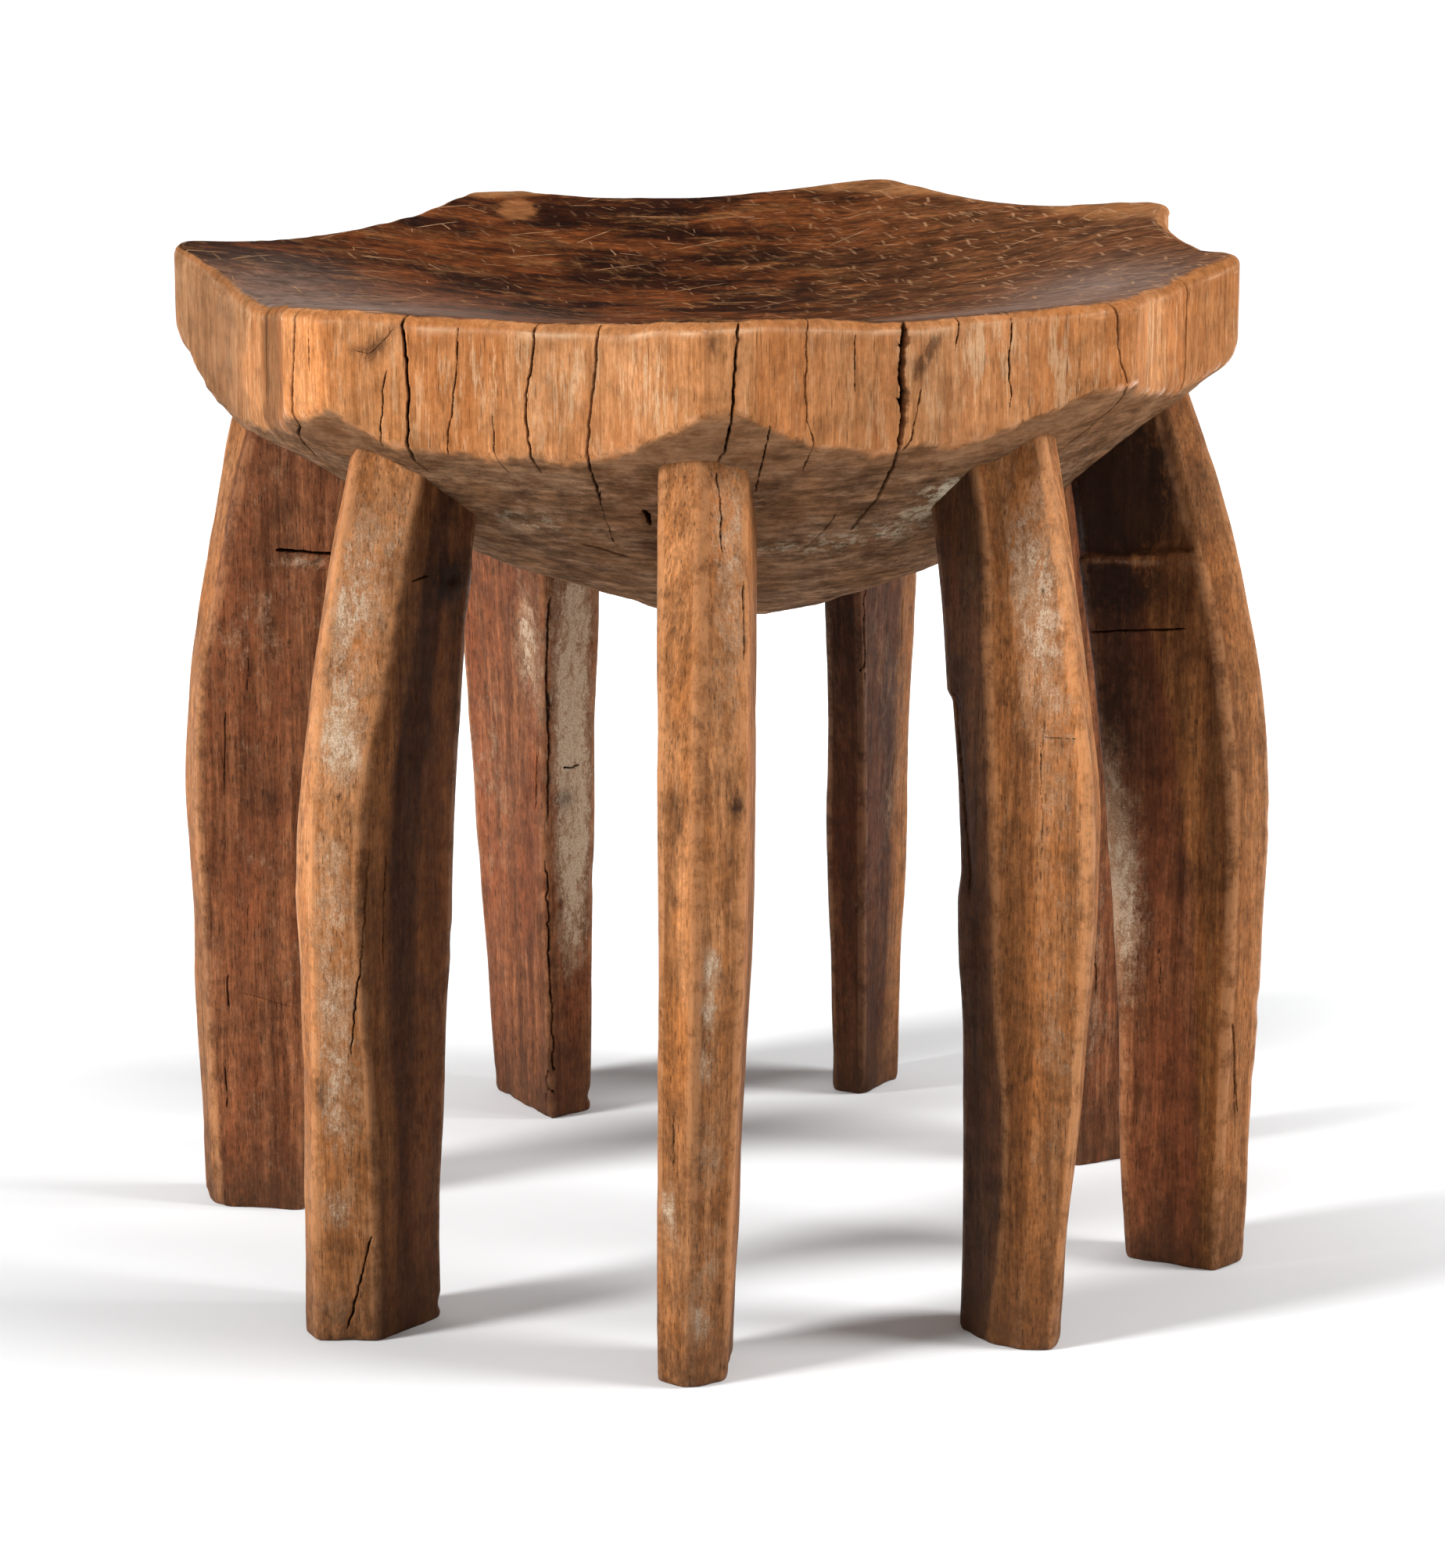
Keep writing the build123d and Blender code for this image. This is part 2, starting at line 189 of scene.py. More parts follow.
def dish_z(x, y):
    """Height of the dished top at (x, y)."""
    r = np.hypot(x, y)
    az = np.degrees(np.arctan2(y, x))
    d = hermite(*np.array(DISH).T, np.minimum(r, 261))
    base = RIM_Z + d + TX * x + TY * y
    ro = outline_radius(az)
    c, s = np.cos(np.radians(az)), np.sin(np.radians(az))
    at_rim = RIM_Z + hermite(*np.array(DISH).T, ro) + TX * ro * c + TY * ro * s
    return base + (rim_height(az) - at_rim) * smooth(0.45, 1.0, r / ro) ** 1.3


# ---------------------------------------------------------------- legs
LEG_Z = [0, 50, 100, 150, 200, 250, 300, 350, 405]
LEGS = {
    "leg_front": (-92.5, [
        [(239, -3.5), (228, 11), (193, 12), (193, -14), (230, -17)],
        [(241, -3), (231, 13), (190, 14), (190, -14), (232, -17)],
        [(243, -2), (233, 15), (188, 16), (188, -14), (234, -16.5)],
        [(245, -1), (235, 17), (186, 18), (186, -14), (236, -16)],
        [(247, 0), (237, 18.5), (183, 20), (183, -14), (238, -15.5)],
        [(245, 0), (235, 19), (179, 21), (179, -14), (236, -15.5)],
        [(237, 1), (226, 19), (174, 21), (174, -15), (228, -16)],
        [(225, 1), (214, 19), (167, 21), (167, -15), (216, -16.5)],
        [(206, 1), (198, 19), (150, 21), (150, -15), (199, -17)]]),
    "leg_front_left": (-134.0, [
        [(249, -2), (231, 16), (190, 12), (189, -15), (242, -17)],
        [(249.5, -2), (232, 17), (190, 13), (189, -15), (242, -16)],
        [(249, -1), (233, 17), (188, 15), (187, -16), (241, -16)],
        [(249, 0), (237, 17), (185, 15), (184, -17), (242, -16)],
        [(250, 0), (239, 17), (182, 15), (181, -18), (244, -16)],
        [(246, -1), (233, 17), (178, 15), (176, -18), (238, -17)],
        [(238, -3), (218, 17), (173, 15), (171, -19), (228, -18)],
        [(224, -5), (207, 18), (167, 16), (165, -20), (214, -19)],
        [(206, -6), (190, 18), (150, 17), (150, -20), (198, -19)]]),
    "leg_left": (173.0, [
        [(242.5, -2), (233, 16), (194, 17), (194, -15), (232, -16)],
        [(244, -1), (235, 17), (192, 17), (192, -15), (234, -16)],
        [(246, 0), (236, 18), (190, 18), (190, -16), (236, -17)],
        [(246.5, 0), (238, 18), (187, 18), (187, -17), (238, -18)],
        [(247.5, 0), (239, 19), (184, 19), (184, -18), (239, -18)],
        [(245, 0), (236, 19), (179, 19), (179, -18), (236, -18)],
        [(237.5, 0), (225, 19), (173, 19), (173, -19), (226, -19)],
        [(228, 0), (214, 19), (166, 20), (166, -19), (214, -19)],
        [(213, 0), (198, 19), (150, 20), (150, -19), (198, -19)]]),
    "leg_back_left": (116.0, [
        [(240, 0), (231, 13), (173, 9), (180, -15), (230, -16)],
        [(242, 0), (233, 15), (173, 10), (180, -16), (232, -16)],
        [(244, 0), (235, 18), (173, 11), (180, -17), (234, -17)],
        [(246, 0), (237, 20), (172, 12), (179, -18), (236, -18)],
        [(247, 0), (239, 23), (171, 12), (178, -18), (238, -18)],
        [(245, 0), (237, 26), (169, 13), (175, -19), (235, -19)],
        [(238, 0), (228, 27), (166, 14), (171, -19), (226, -19)],
        [(226, 0), (216, 27.5), (162, 15), (164, -19), (214, -19)],
        [(210, 0), (198, 27), (150, 15), (150, -19), (198, -19)]]),
    "leg_back": (72.0, [
        [(246, 0), (238, 12), (208, 9), (204, -7), (238, -14)],
        [(247, 0), (239, 13), (204, 9), (200, -8), (239, -16)],
        [(248, 0), (240, 14), (199, 9), (196, -9), (240, -17)],
        [(248, 0), (240, 15), (195, 9), (192, -10), (240, -18)],
        [(248, 0), (240, 16), (190, 8), (187, -11), (240, -20)],
        [(245, -1), (236, 16), (186, 8), (182, -11), (236, -23)],
        [(237, -2), (227, 16), (180, 7), (177, -12), (227, -25)],
        [(225, -3), (215, 16), (172, 7), (170, -13), (215, -26)],
        [(208, -3), (199, 16), (152, 7), (150, -14), (199, -26)]]),
    "leg_back_right": (28.5, [
        [(240, 0), (230, 16), (184, 14), (184, -15), (230, -16)],
        [(242, 0), (232, 16), (183, 14), (183, -15), (232, -16)],
        [(244, 0), (234, 17), (182, 15), (182, -16), (234, -16)],
        [(246, 0), (236, 17), (180, 16), (180, -17), (236, -17)],
        [(247, 0), (238, 18), (178, 17), (178, -18), (238, -18)],
        [(245, 0), (236, 18), (175, 18), (175, -18), (236, -18)],
        [(237, 0), (227, 19), (171, 18), (171, -19), (227, -19)],
        [(225, 0), (215, 19), (165, 19), (165, -19), (215, -19)],
        [(208, 0), (199, 19), (150, 19), (150, -19), (199, -19)]]),
    "leg_right": (-16.0, [
        [(243, 0), (232, 13), (194, 12), (193, -11), (235, -19)],
        [(245, 1), (234, 14), (191, 13), (191, -14), (236, -18)],
        [(246.5, 2), (236, 15), (189, 14), (189, -16), (237, -17)],
        [(248, 3), (238, 17), (186, 15), (186, -16), (238, -16)],
        [(250, 3), (240, 18), (183, 17), (182, -16), (238, -15)],
        [(247.5, 3), (237, 19), (178, 18), (177, -16), (234, -15)],
        [(238, 3), (227, 20), (172, 19), (170, -16), (226, -15)],
        [(225, 3), (215, 20), (165, 19), (163, -16), (211, -15)],
        [(206, 3), (199, 20), (150, 19), (150, -16), (195, -15)]]),
    "leg_front_right": (-52.0, [
        [(236, -5), (225, 8), (190, 11), (190, -18), (212, -21), (226, -17)],
        [(239, -3), (230, 7), (192, 9), (192, -19), (218, -19), (229, -14)],
        [(243, -1), (236, 8), (192, 10), (192, -19), (219, -19), (230, -12)],
        [(246, 0), (240, 9), (190, 11), (190, -19), (213, -19), (228, -10)],
        [(250, 0), (242, 11), (187, 13), (187, -19), (211, -19), (226, -9)],
        [(249, -1), (239, 12), (183, 14), (183, -19), (208, -19), (223, -9)],
        [(241, -2), (229, 13), (177, 16), (177, -19), (204, -19), (212, -9)],
        [(227, 0), (216, 15.5), (169, 18), (170, -19), (201, -19), (204, -9)],
        [(209, 3), (199, 17), (152, 18), (152, -19), (188, -19), (190, -9)]]),
}

# ---------------------------------------------------------------- shared mesh tools
AXIS = np.array([2.337, 5.280, 0.0])  # the seat's own axis, mm from the frame's origin


def grid_faces(rows, cols):
    """Quads of a grid that closes round in its columns."""
    r, c = np.meshgrid(np.arange(rows - 1), np.arange(cols), indexing="ij")
    n = (c + 1) % cols
    return np.stack([r * cols + c, r * cols + n, (r + 1) * cols + n, (r + 1) * cols + c], -1).reshape(-1, 4)


def grid_normals(p, flip=1.0):
    du = np.roll(p, -1, 1) - np.roll(p, 1, 1)
    dv = np.gradient(p, axis=0)
    n = flip * np.cross(dv, du)
    return n / np.maximum(np.linalg.norm(n, axis=-1, keepdims=True), 1e-9)


def wander(points, step=1.6, amount=0.45, seed=0):
    """A crack's path: the given points joined in short steps, a little jagged, with its length along it."""
    p = np.asarray(points, float)
    out = [p[:1]]
    for a, b in zip(p[:-1], p[1:]):
        k = max(1, int(math.dist(a, b) / step))
        out.append(a + (b - a) * (np.arange(1, k + 1) / k)[:, None])
    q = np.concatenate(out)
    s = np.r_[0, np.cumsum(np.linalg.norm(np.diff(q, axis=0), axis=1))]
    for axis in range(3):
        t = np.c_[s / 7.0, np.full(len(s), 3.1 * axis + seed), np.zeros(len(s))]
        q[:, axis] += amount * (fbm(t, 3, seed + axis, 0.6) + 0.75 * noise(np.c_[s / 2.3, t[:, 1:]], seed + 40 + axis)) * (1.0 if axis < 2 else 0.3)
    return q, s


def crack_field(v, cracks):
    """For points v: how deep the cracks push them in, and how dark they are."""
    deep, dark, near = np.zeros(len(v)), np.zeros(len(v)), np.full(len(v), 99.0)
    for width, depth, path, s in cracks:
        lo, hi = path.min(0) - 4, path.max(0) + 4
        idx = np.where(((v > lo) & (v < hi)).all(1))[0]
        if not len(idx):
            continue
        q = v[idx]
        best, along = np.full(len(q), 1e9), np.zeros(len(q))
        for k in range(len(path) - 1):
            a, ab = path[k], path[k + 1] - path[k]
            t = np.clip(((q - a) @ ab) / max(ab @ ab, 1e-9), 0, 1)
            d = np.linalg.norm(q - a - t[:, None] * ab, axis=1)
            hit = d < best
            best[hit], along[hit] = d[hit], (s[k] + t * (s[k + 1] - s[k]))[hit]
        u = along / s[-1]
        taper = np.clip(np.minimum(u + 0.06, 1.03 - u) * 8, 0.0, 1) ** 0.7
        run = np.c_[along / 4.0, np.full(len(q), width * 31 + s[-1]), np.zeros(len(q))]
        wob = 0.90 + 0.55 * fbm(run, 3, 77, 0.7)
        if width < 0.45:  # hair cracks open and close along their length
            wob = wob * smooth(-0.42, 0.05, fbm(run + 9.1, 2, 78))
        w = np.maximum(width * taper * wob, 0.10)
        g = np.clip(1.1 - best / w, 0, 1)
        deep[idx] = np.maximum(deep[idx], depth * taper * g**0.6)
        dark[idx] = np.maximum(dark[idx], smooth(1.12, 0.62, best / w) * np.clip(taper * 1.6, 0, 1))
        flat_run = np.ptp(path[:, 2]) < 0.45 * s[-1]  # runs along the bowl's rows, which lie further apart
        near[idx] = np.minimum(near[idx], best * (0.36 if flat_run else 0.6 if width > 1.2 and s[-1] < 12 else 1.0))
    return deep, dark, near


def on_skin(q, vert, faces):
    """Points q moved along the nearest vertex's normal until they lie on the surface."""
    quads = np.array([f for f in faces if len(f) == 4])
    a = vert[quads[:, 2]] - vert[quads[:, 0]]
    c = vert[quads[:, 3]] - vert[quads[:, 1]]
    fn = np.cross(a, c)
    nrm = np.zeros_like(vert)
    for k in range(4):
        np.add.at(nrm, quads[:, k], fn)
    nrm /= np.maximum(np.linalg.norm(nrm, axis=1, keepdims=True), 1e-9)
    for _ in range(2):
        j = np.array([int(np.argmin(((vert - s) ** 2).sum(1))) for s in q])
        q = q + nrm[j] * ((vert[j] - q) * nrm[j]).sum(1, keepdims=True)
    return q


def solid(name, v, faces, attrs, cracks, cuts=7, reach=1.25, material=None, node=None):
    """Mesh object from points in mm about the seat's axis. Faces beside a crack are split finely, then the crack is pressed in."""
    quads = np.array([f for f in faces if len(f) == 4])
    q0, q1, q2, q3 = (v[quads[:, k]] for k in range(4))
    if (np.cross(q2 - q0, q3 - q1) * (q0 + q1 + q2 + q3)).sum() < 0:
        faces = [f[::-1] for f in faces]
    me = bpy.data.meshes.new(name)
    me.from_pydata((v + AXIS).tolist(), [], [f.tolist() if hasattr(f, "tolist") else f for f in faces])
    for key, val in attrs.items():
        val = np.asarray(val, np.float32)
        if val.ndim == 2:
            me.attributes.new(key, "FLOAT_VECTOR", "POINT").data.foreach_set("vector", val.ravel())
        else:
            me.attributes.new(key, "FLOAT", "POINT").data.foreach_set("value", val)
    if cracks:
        _, _, near = crack_field(v, cracks)
        bm = bmesh.new()
        bm.from_mesh(me)
        bm.faces.ensure_lookup_table()
        close = near < reach
        edges = {e for f in bm.faces if any(close[x.index] for x in f.verts) for e in f.edges}
        bmesh.ops.subdivide_edges(bm, edges=list(edges), cuts=cuts, use_grid_fill=True)
        bm.to_mesh(me)
        bm.free()
    n = len(me.vertices)
    co = np.empty(n * 3)
    me.vertices.foreach_get("co", co)
    co = co.reshape(-1, 3)
    no = np.empty(n * 3)
    me.vertex_normals.foreach_get("vector", no)
    no = no.reshape(-1, 3)
    dark = np.zeros(n)
    if cracks:
        deep, dark, _ = crack_field(co - AXIS, cracks)
        co = co - no * deep[:, None]
    me.attributes.new("crack", "FLOAT", "POINT").data.foreach_set("value", dark.astype(np.float32))
    co *= 0.001
    me.vertices.foreach_set("co", co.ravel())
    me.polygons.foreach_set("use_smooth", np.ones(len(me.polygons), bool))
    me.update()
    me.validate()
    me.materials.append(material)
    obj = bpy.data.objects.new(name, me)
    bpy.context.scene.collection.objects.link(obj)
    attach(obj, "root")
    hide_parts(node)
    return obj


def blobs(p, spots):
    """Sum of soft spots: each (centre, sizes, strength)."""
    out = np.zeros(len(p))
    for c, s, k in spots:
        d = (((p - np.array(c, float)) / np.array(s, float)) ** 2).sum(1)
        out += k * np.exp(-d * 0.7)
    return out


# ---------------------------------------------------------------- seat
# changes of the bowl's height just under the rim: azimuth, mm
CREASE = [(-180, -8.5), (-171, -7), (-162, -1.5), (-149, -2.1), (-143, -6), (-139.4, -9.5), (-137.9, -7.5), (-135.6, -4.3), (-133.4, -0.6), (-132.3, -1.7), (-131.2, -3.4), (-130.2, -4.7), (-128, -4.2), (-125.7, -3.0), (-122, 0.6), (-118.5, 3.6), (-111, 3.5), (-98, 1), (-90, 0), (-78, 0),
          (-69, 1.5), (-57, -2), (-46.8, -6), (-38, -2), (-29, -1), (-18, -4.5), (-8, -5.5), (6, -4), (24, 0), (60, 0), (120, 0), (148, -3), (165, -8), (180, -8.5)]

# drying cracks of the band and the bowl: half width, depth, then azimuth and height down along it; None starts on the rim's top
SEAT_CRACKS = [
    (0.72, 2.6, [(-138.2, None), (-138.3, 440.0), (-138.4, 434.0), (-138.6, 424.0), (-138.9, 414.0), (-139.2, 405.0), (-139.6, 398.0), (-145.0, 388.0), (-148.8, 380.2), (-151.0, 372.8)]),
    (0.85, 2.0, [(-158.0, 434.0), (-158.2, 424.0), (-158.3, 410.0), (-158.6, 397.0), (-158.5, 389.0)]),
    (0.4, 1.2, [(-136.0, 438.0), (-136.2, 428.0), (-136.1, 419.0)]),
    (0.65, 3.6, [(-126.9, None), (-126.9, 441), (-126.5, 426.0), (-126.4, 409.4), (-126.6, 391.4), (-127.2, 384.5), (-126.9, 377.2)]),
    (0.36, 1.6, [(-121.0, 439.8), (-121.2, 423.5), (-121.7, 407.2), (-122.2, 396.0), (-122.6, 386.0)]),
    (0.51, 3.0, [(-111.8, None), (-111.8, 440.5), (-111.8, 434.8), (-112.2, 425.6), (-112.8, 415.2), (-113.0, 404.2), (-112.2, 386.5), (-112.0, 378.3)]),
    (0.61, 3.8, [(-103.8, None), (-103.9, 441), (-104.2, 427.0), (-104.8, 407.8), (-105.2, 385.3), (-105.5, 376.0), (-106.0, 364.0)]),
    (0.65, 4.2, [(-88.4, None), (-88.5, 447), (-88.8, 433.7), (-89.0, 423.4), (-89.0, 413.5), (-89.5, 401.7), (-89.8, 394.9), (-91.2, 385.1)]),
    (0.41, 2.4, [(-81.0, None), (-81.0, 445), (-81.0, 431.2), (-81.2, 420.6), (-81.0, 407.0), (-80.2, 400.3), (-80.5, 392.3), (-80.5, 382.8)]),
    (0.4, 1.4, [(-85.2, 406.8), (-85.5, 388.5), (-86.0, 372.8)]),
    (0.4, 1.4, [(-75.2, 440.1), (-75.2, 427.3), (-75.2, 417.2)]),
    (1.5, 9.0, [(-68.8, None), (-68.9, 441), (-69.2, 434.9), (-69.5, 421.6), (-69.0, 414.9), (-69.2, 402.7), (-69.5, 392.2)]),
    (0.82, 4.5, [(-69.4, 396), (-69.5, 389), (-69.2, 380.8), (-69.2, 366.9), (-70.5, 349.5)]),
    (0.41, 2.6, [(-67.0, 416.3), (-67.5, 405.7), (-68.0, 395.1), (-69.2, 388.5)]),
    (0.4, 1.4, [(-62.5, None), (-62.5, 443.5), (-63.0, 431.1)]),
    (0.37, 2.0, [(-57.0, None), (-57.0, 444), (-57.2, 426.8), (-57.0, 406.8)]),
    (0.51, 3.2, [(-47.5, None), (-47.2, 444.9), (-47.0, 430.8), (-45.8, 416.8), (-43.0, 408.1), (-42.0, 400.4), (-42.2, 387.0), (-42.8, 381.6)]),
    (1.50, 3.2, [(-113.0, 341.8), (-110.5, 340.0), (-108.5, 337.4), (-106.6, 334.6)]),
    (1.25, 3.0, [(-100.5, 363.0), (-100.2, 358.5), (-100.2, 354.0)]),
    (0.34, 1.2, [(-105.3, 372.0), (-106.0, 363.6), (-106.5, 352.5), (-106.8, 346.9), (-107.0, 341.7)]),
    (0.61, 2.8, [(-56.5, 344.2), (-58.5, 339.4), (-62.0, 333.7)]),
    (0.34, 1.8, [(-74.0, 360.0), (-75.0, 348.0), (-77.0, 338.0)]),
    (0.31, 1.8, [(-96.5, 388.0), (-97.0, 372.0)]),
    (0.31, 1.6, [(-117.0, 404.0), (-116.8, 388.0), (-116.0, 378.0)]),
    (0.20, 0.5, [(-127.8, 438.6), (-128.6, 433.6), (-129.4, 429.6), (-129.9, 428.0), (-131.0, 429.4)]),
    (0.32, 1.2, [(-128.4, 421.0), (-128.8, 412.6), (-128.8, 403.0), (-129.1, 396.0), (-130.2, 388.4)]),
    # the sides and back that the photograph doesn't show
    (0.8, 3.0, [(-24.0, None), (-24.0, 444), (-24.4, 428), (-24.2, 412), (-25.0, 398)]),
    (0.5, 2.0, [(3.0, None), (3.0, 443), (3.4, 425), (3.0, 409)]),
    (1.1, 4.6, [(19.0, None), (19.0, 444), (18.6, 430), (19.4, 414), (19.0, 400), (20.0, 384), (19.0, 366)]),
    (0.6, 2.2, [(47.0, None), (47.0, 446), (46.4, 430), (46.8, 412)]),
    (0.9, 3.4, [(78.0, None), (78.0, 446), (78.6, 430), (78.0, 414), (79.0, 398), (78.0, 380)]),
    (0.5, 1.8, [(99.0, None), (99.0, 441), (99.4, 424), (99.0, 408)]),
    (1.3, 5.0, [(126.0, None), (126.0, 443), (125.4, 428), (126.2, 410), (126.0, 394), (127.0, 376), (126.0, 358)]),
    (0.6, 2.2, [(150.0, None), (150.0, 439), (150.6, 424), (150.0, 406), (150.4, 388)]),
    (0.8, 3.0, [(166.0, None), (166.0, 441), (166.2, 426), (165.8, 410), (166.4, 396)]),
]


# how light the band's wood is, and how greyed, by azimuth
BAND_TONE = [(-180, 0.52), (-174, 0.56), (-171, 0.70), (-168.5, 0.68), (-166.5, 0.98), (-160.6, 0.92), (-158.6, 0.50), (-152, 0.52), (-143, 0.76), (-140.8, 1.20), (-137, 1.36), (-134.3, 1.34), (-133.1, 1.05),
             (-120, 0.95), (-105, 0.95), (-96, 1.0), (-92, 0.85), (-88, 0.85), (-76, 0.85), (-66, 0.88), (-60, 0.92), (-52, 0.80), (-46, 0.90), (-36, 1.02), (-28, 1.0),
             (-22, 0.72), (-14, 0.74), (0, 1.0), (40, 0.9), (80, 1.05), (120, 0.95), (150, 1.0), (170, 0.8), (180, 0.60)]
BAND_GREY = [(-180, 0.35), (-172, 0.4), (-167, 0.1), (-150, 0), (-130, 0), (-100, 0.1), (-92, 0), (-62, 0.15), (-50, 0), (-38, 0.1), (-24, 0), (40, 0.2), (100, 0.1), (150, 0.1), (180, 0.35)]


def seat_point(az, z):
    """Point of the outer surface at an azimuth and height: band above the crease, bowl below it; None is the rim's top."""
    r = float(outline_radius(az))
    c, s = math.cos(math.radians(az)), math.sin(math.radians(az))
    if z is None:
        r -= 4.0
        return [r * c, r * s, float(dish_z(np.array([r * c]), np.array([r * s]))[0])]
    if z > float(bowl_z(np.array(r * c), np.array(r * s))):
        return [r * c, r * s, z]
    lo, hi = 0.0, r
    for _ in range(30):
        m = (lo + hi) / 2
        if float(bowl_z(np.array(m * c), np.array(m * s))) < z:
            lo = m
        else:
            hi = m
    return [lo * c, lo * s, z]


def make_seat(material):
    n, top, bevel, band, under = 760, 92, 8, 30, 84
    az = np.arange(n) * 360 / n
    c, s = np.cos(np.radians(az)), np.sin(np.radians(az))
    rad = outline_radius(az)
    edge = 1.0 + 0 * az
    wide = 6.2 + 1.0 * noise(np.c_[az / 9, 0 * az, 0 * az], 5)
    drop = 4.2 + 0.6 * noise(np.c_[az / 7, 0 * az, 0 * az], 6)
    sharp = np.exp(-(((az - 177) / 10.0) ** 2))
    wide, drop = wide * (1 - 0.40 * sharp), drop * (1 - 0.35 * sharp)
    ca, cz = np.array(CREASE, float).T
    fix = np.interp((az + 180) % 360 - 180, ca, cz)
    fix = (np.roll(fix, 4) + fix + np.roll(fix, -4)) / 3

    side = np.exp(-((az - 177) / 24.0) ** 4)

    def bowl(x, y, t):
        return bowl_z(x, y) + fix * smooth(0.78, 1.0, t)

    rows, kind = [], []
    for t in np.linspace(0, 1, top + 1)[1:]:
        r = (rad - wide) * t
        rows.append(np.c_[r * c, r * s, dish_z(r * c, r * s)])
        kind.append(0)
    zi = rows[-1][:, 2]
    for t in np.linspace(0, np.pi / 2, bevel + 1)[1:]:
        r = rad - wide + wide * np.sin(t)
        rows.append(np.c_[r * c, r * s, zi - drop * (1 - np.cos(t))])
        kind.append(1)
    zb = rows[-1][:, 2]
    zc = bowl(rad * c, rad * s, 1.0)
    for t in np.linspace(0, 1, band + 1)[1:]:
        rows.append(np.c_[rad * c, rad * s, zb + (zc - zb) * t])
        kind.append(2)
    for t in np.linspace(1, 0, under + 1)[1:-1]:
        r = rad * t
        rows.append(np.c_[r * c, r * s, bowl(r * c, r * s, t)])
        kind.append(3)
    p, kind = np.array(rows), np.array(kind)
    lastband = np.where(kind == 2)[0][-1]
    # soften the lower edge of the band, by an amount that varies at random round it
    soft = 1 - smooth(1, 4, np.abs(np.arange(len(p)) - lastband))
    soft = soft[:, None, None] * (0.75 + 0.25 * noise(np.c_[az / 6, 0 * az, 0 * az], 9))[None, :, None]
    for _ in range(3):
        q = p.copy()
        q[1:-1] = (p[:-2] + 2 * p[1:-1] + p[2:]) / 4
        p = p + (q - p) * soft
    for middle, span, count in ((176, 26, 34), (-10, 17, 12)):
        near_tip = np.exp(-((((az - middle + 180) % 360) - 180) / span) ** 2)[None, :, None]
        zone = (1 - smooth(6, 15, np.abs(np.arange(len(p)) - lastband)))[:, None, None] * near_tip
        for _ in range(count):
            q = p.copy()
            q[1:-1] = (p[:-2] + 2 * p[1:-1] + p[2:]) / 4
            p = p + (q - p) * zone
    # the block's lower edge turns in early at the left tip, over a fuller bowl
    want = np.interp(p[..., 2], [363, 370, 376, 381, 386, 391.4, 396.7, 402, 407, 412.3, 416, 420, 433], [190, 203.5, 216.5, 225, 230, 234, 236.6, 238.6, 240.4, 241.8, 242.8, 243.8, 244.6])
    now = np.hypot(p[..., 0], p[..., 1])
    more = np.clip(np.minimum(want, rad[None] + 0.6) - now, 0, 12) * side[None] * smooth(360, 370, p[..., 2]) * (np.arange(len(p)) > top + bevel)[:, None]
    p[..., :2] *= (1 + more / np.maximum(now, 1))[..., None]
    nrm = grid_normals(p)
    if nrm[20, :, 2].mean() < 0:
        nrm = -nrm
    rr = np.hypot(p[..., 0], p[..., 1])
    arc = np.radians(az)[None, :] * rad[None, :] + 0 * rr
    z = p[..., 2]
    k = kind[:, None] + 0 * rr
    x, y = p[..., 0], p[..., 1]
    # hewn surface
    topd = 0.75 * noise(np.stack([x / 62, y / 55, 0 * x], -1), 21) + 0.22 * fbm(np.stack([x / 15, y / 21, 0 * x], -1), 2, 22)
    cells = np.abs(noise(np.stack([x / 9 + y / 30, y / 12 - x / 40, 0 * x], -1), 23))
    topd -= 0.30 * (1 - cells) ** 3 * smooth(30, 110, x + 0.3 * y)
    topd *= smooth(6, 26, rr)
    bandd = 0.55 * noise(np.stack([np.cos(np.radians(az))[None] * rad / 21 + 0 * z, np.sin(np.radians(az))[None] * rad / 21 + 0 * z, z / 160], -1), 31)
    bandd += 0.13 * noise(np.stack([x / 6, y / 6, z / 60], -1), 32) + 0.22 * noise(np.stack([x / 30, y / 30, z / 14], -1), 33)
    low = smooth(345, 305, z)
    undd = 0.8 * noise(np.stack([x / 34, y / 34, z / 22], -1), 41)
    undd += 0.42 * fbm(np.stack([x / 26, y / 26, (z + 0.10 * x) / 3.2], -1), 3, 42, 0.6)
    undd += low * 1.6 * fbm(np.stack([x / 24, y / 24, z / 4.5], -1), 3, 43, 0.6)
    near = np.exp(-((np.arange(len(p)) - lastband) / 7.0) ** 2)[:, None]
    crease = near * (1.1 * noise(np.stack([x / 13, y / 13, 0 * z], -1), 51) + 0.5 * noise(np.stack([x / 5, y / 5, z / 9], -1), 52))
    isunder = smooth(lastband - 4, lastband + 5, np.arange(len(p)))[:, None]
    istop = (k == 0).astype(float)
    rimd = (k == 1) * (0.35 * noise(np.stack([x / 8, y / 8, 0 * z], -1), 61) + 0.3 * noise(np.stack([x / 24, y / 24, 0 * z], -1), 62))
    d = istop * topd * smooth(1.0, 0.93, rr / rad) + rimd + (1 - istop) * (k >= 2) * (bandd * (1 - isunder) + undd * isunder + crease)
    p = p + nrm * d[..., None]
    # small pit in the bowl
    pit = np.array(seat_point(-100.2, 359.6))
    p = p - nrm * (2.2 * np.exp(-((p - pit) ** 2).sum(-1) / 7.0))[..., None]
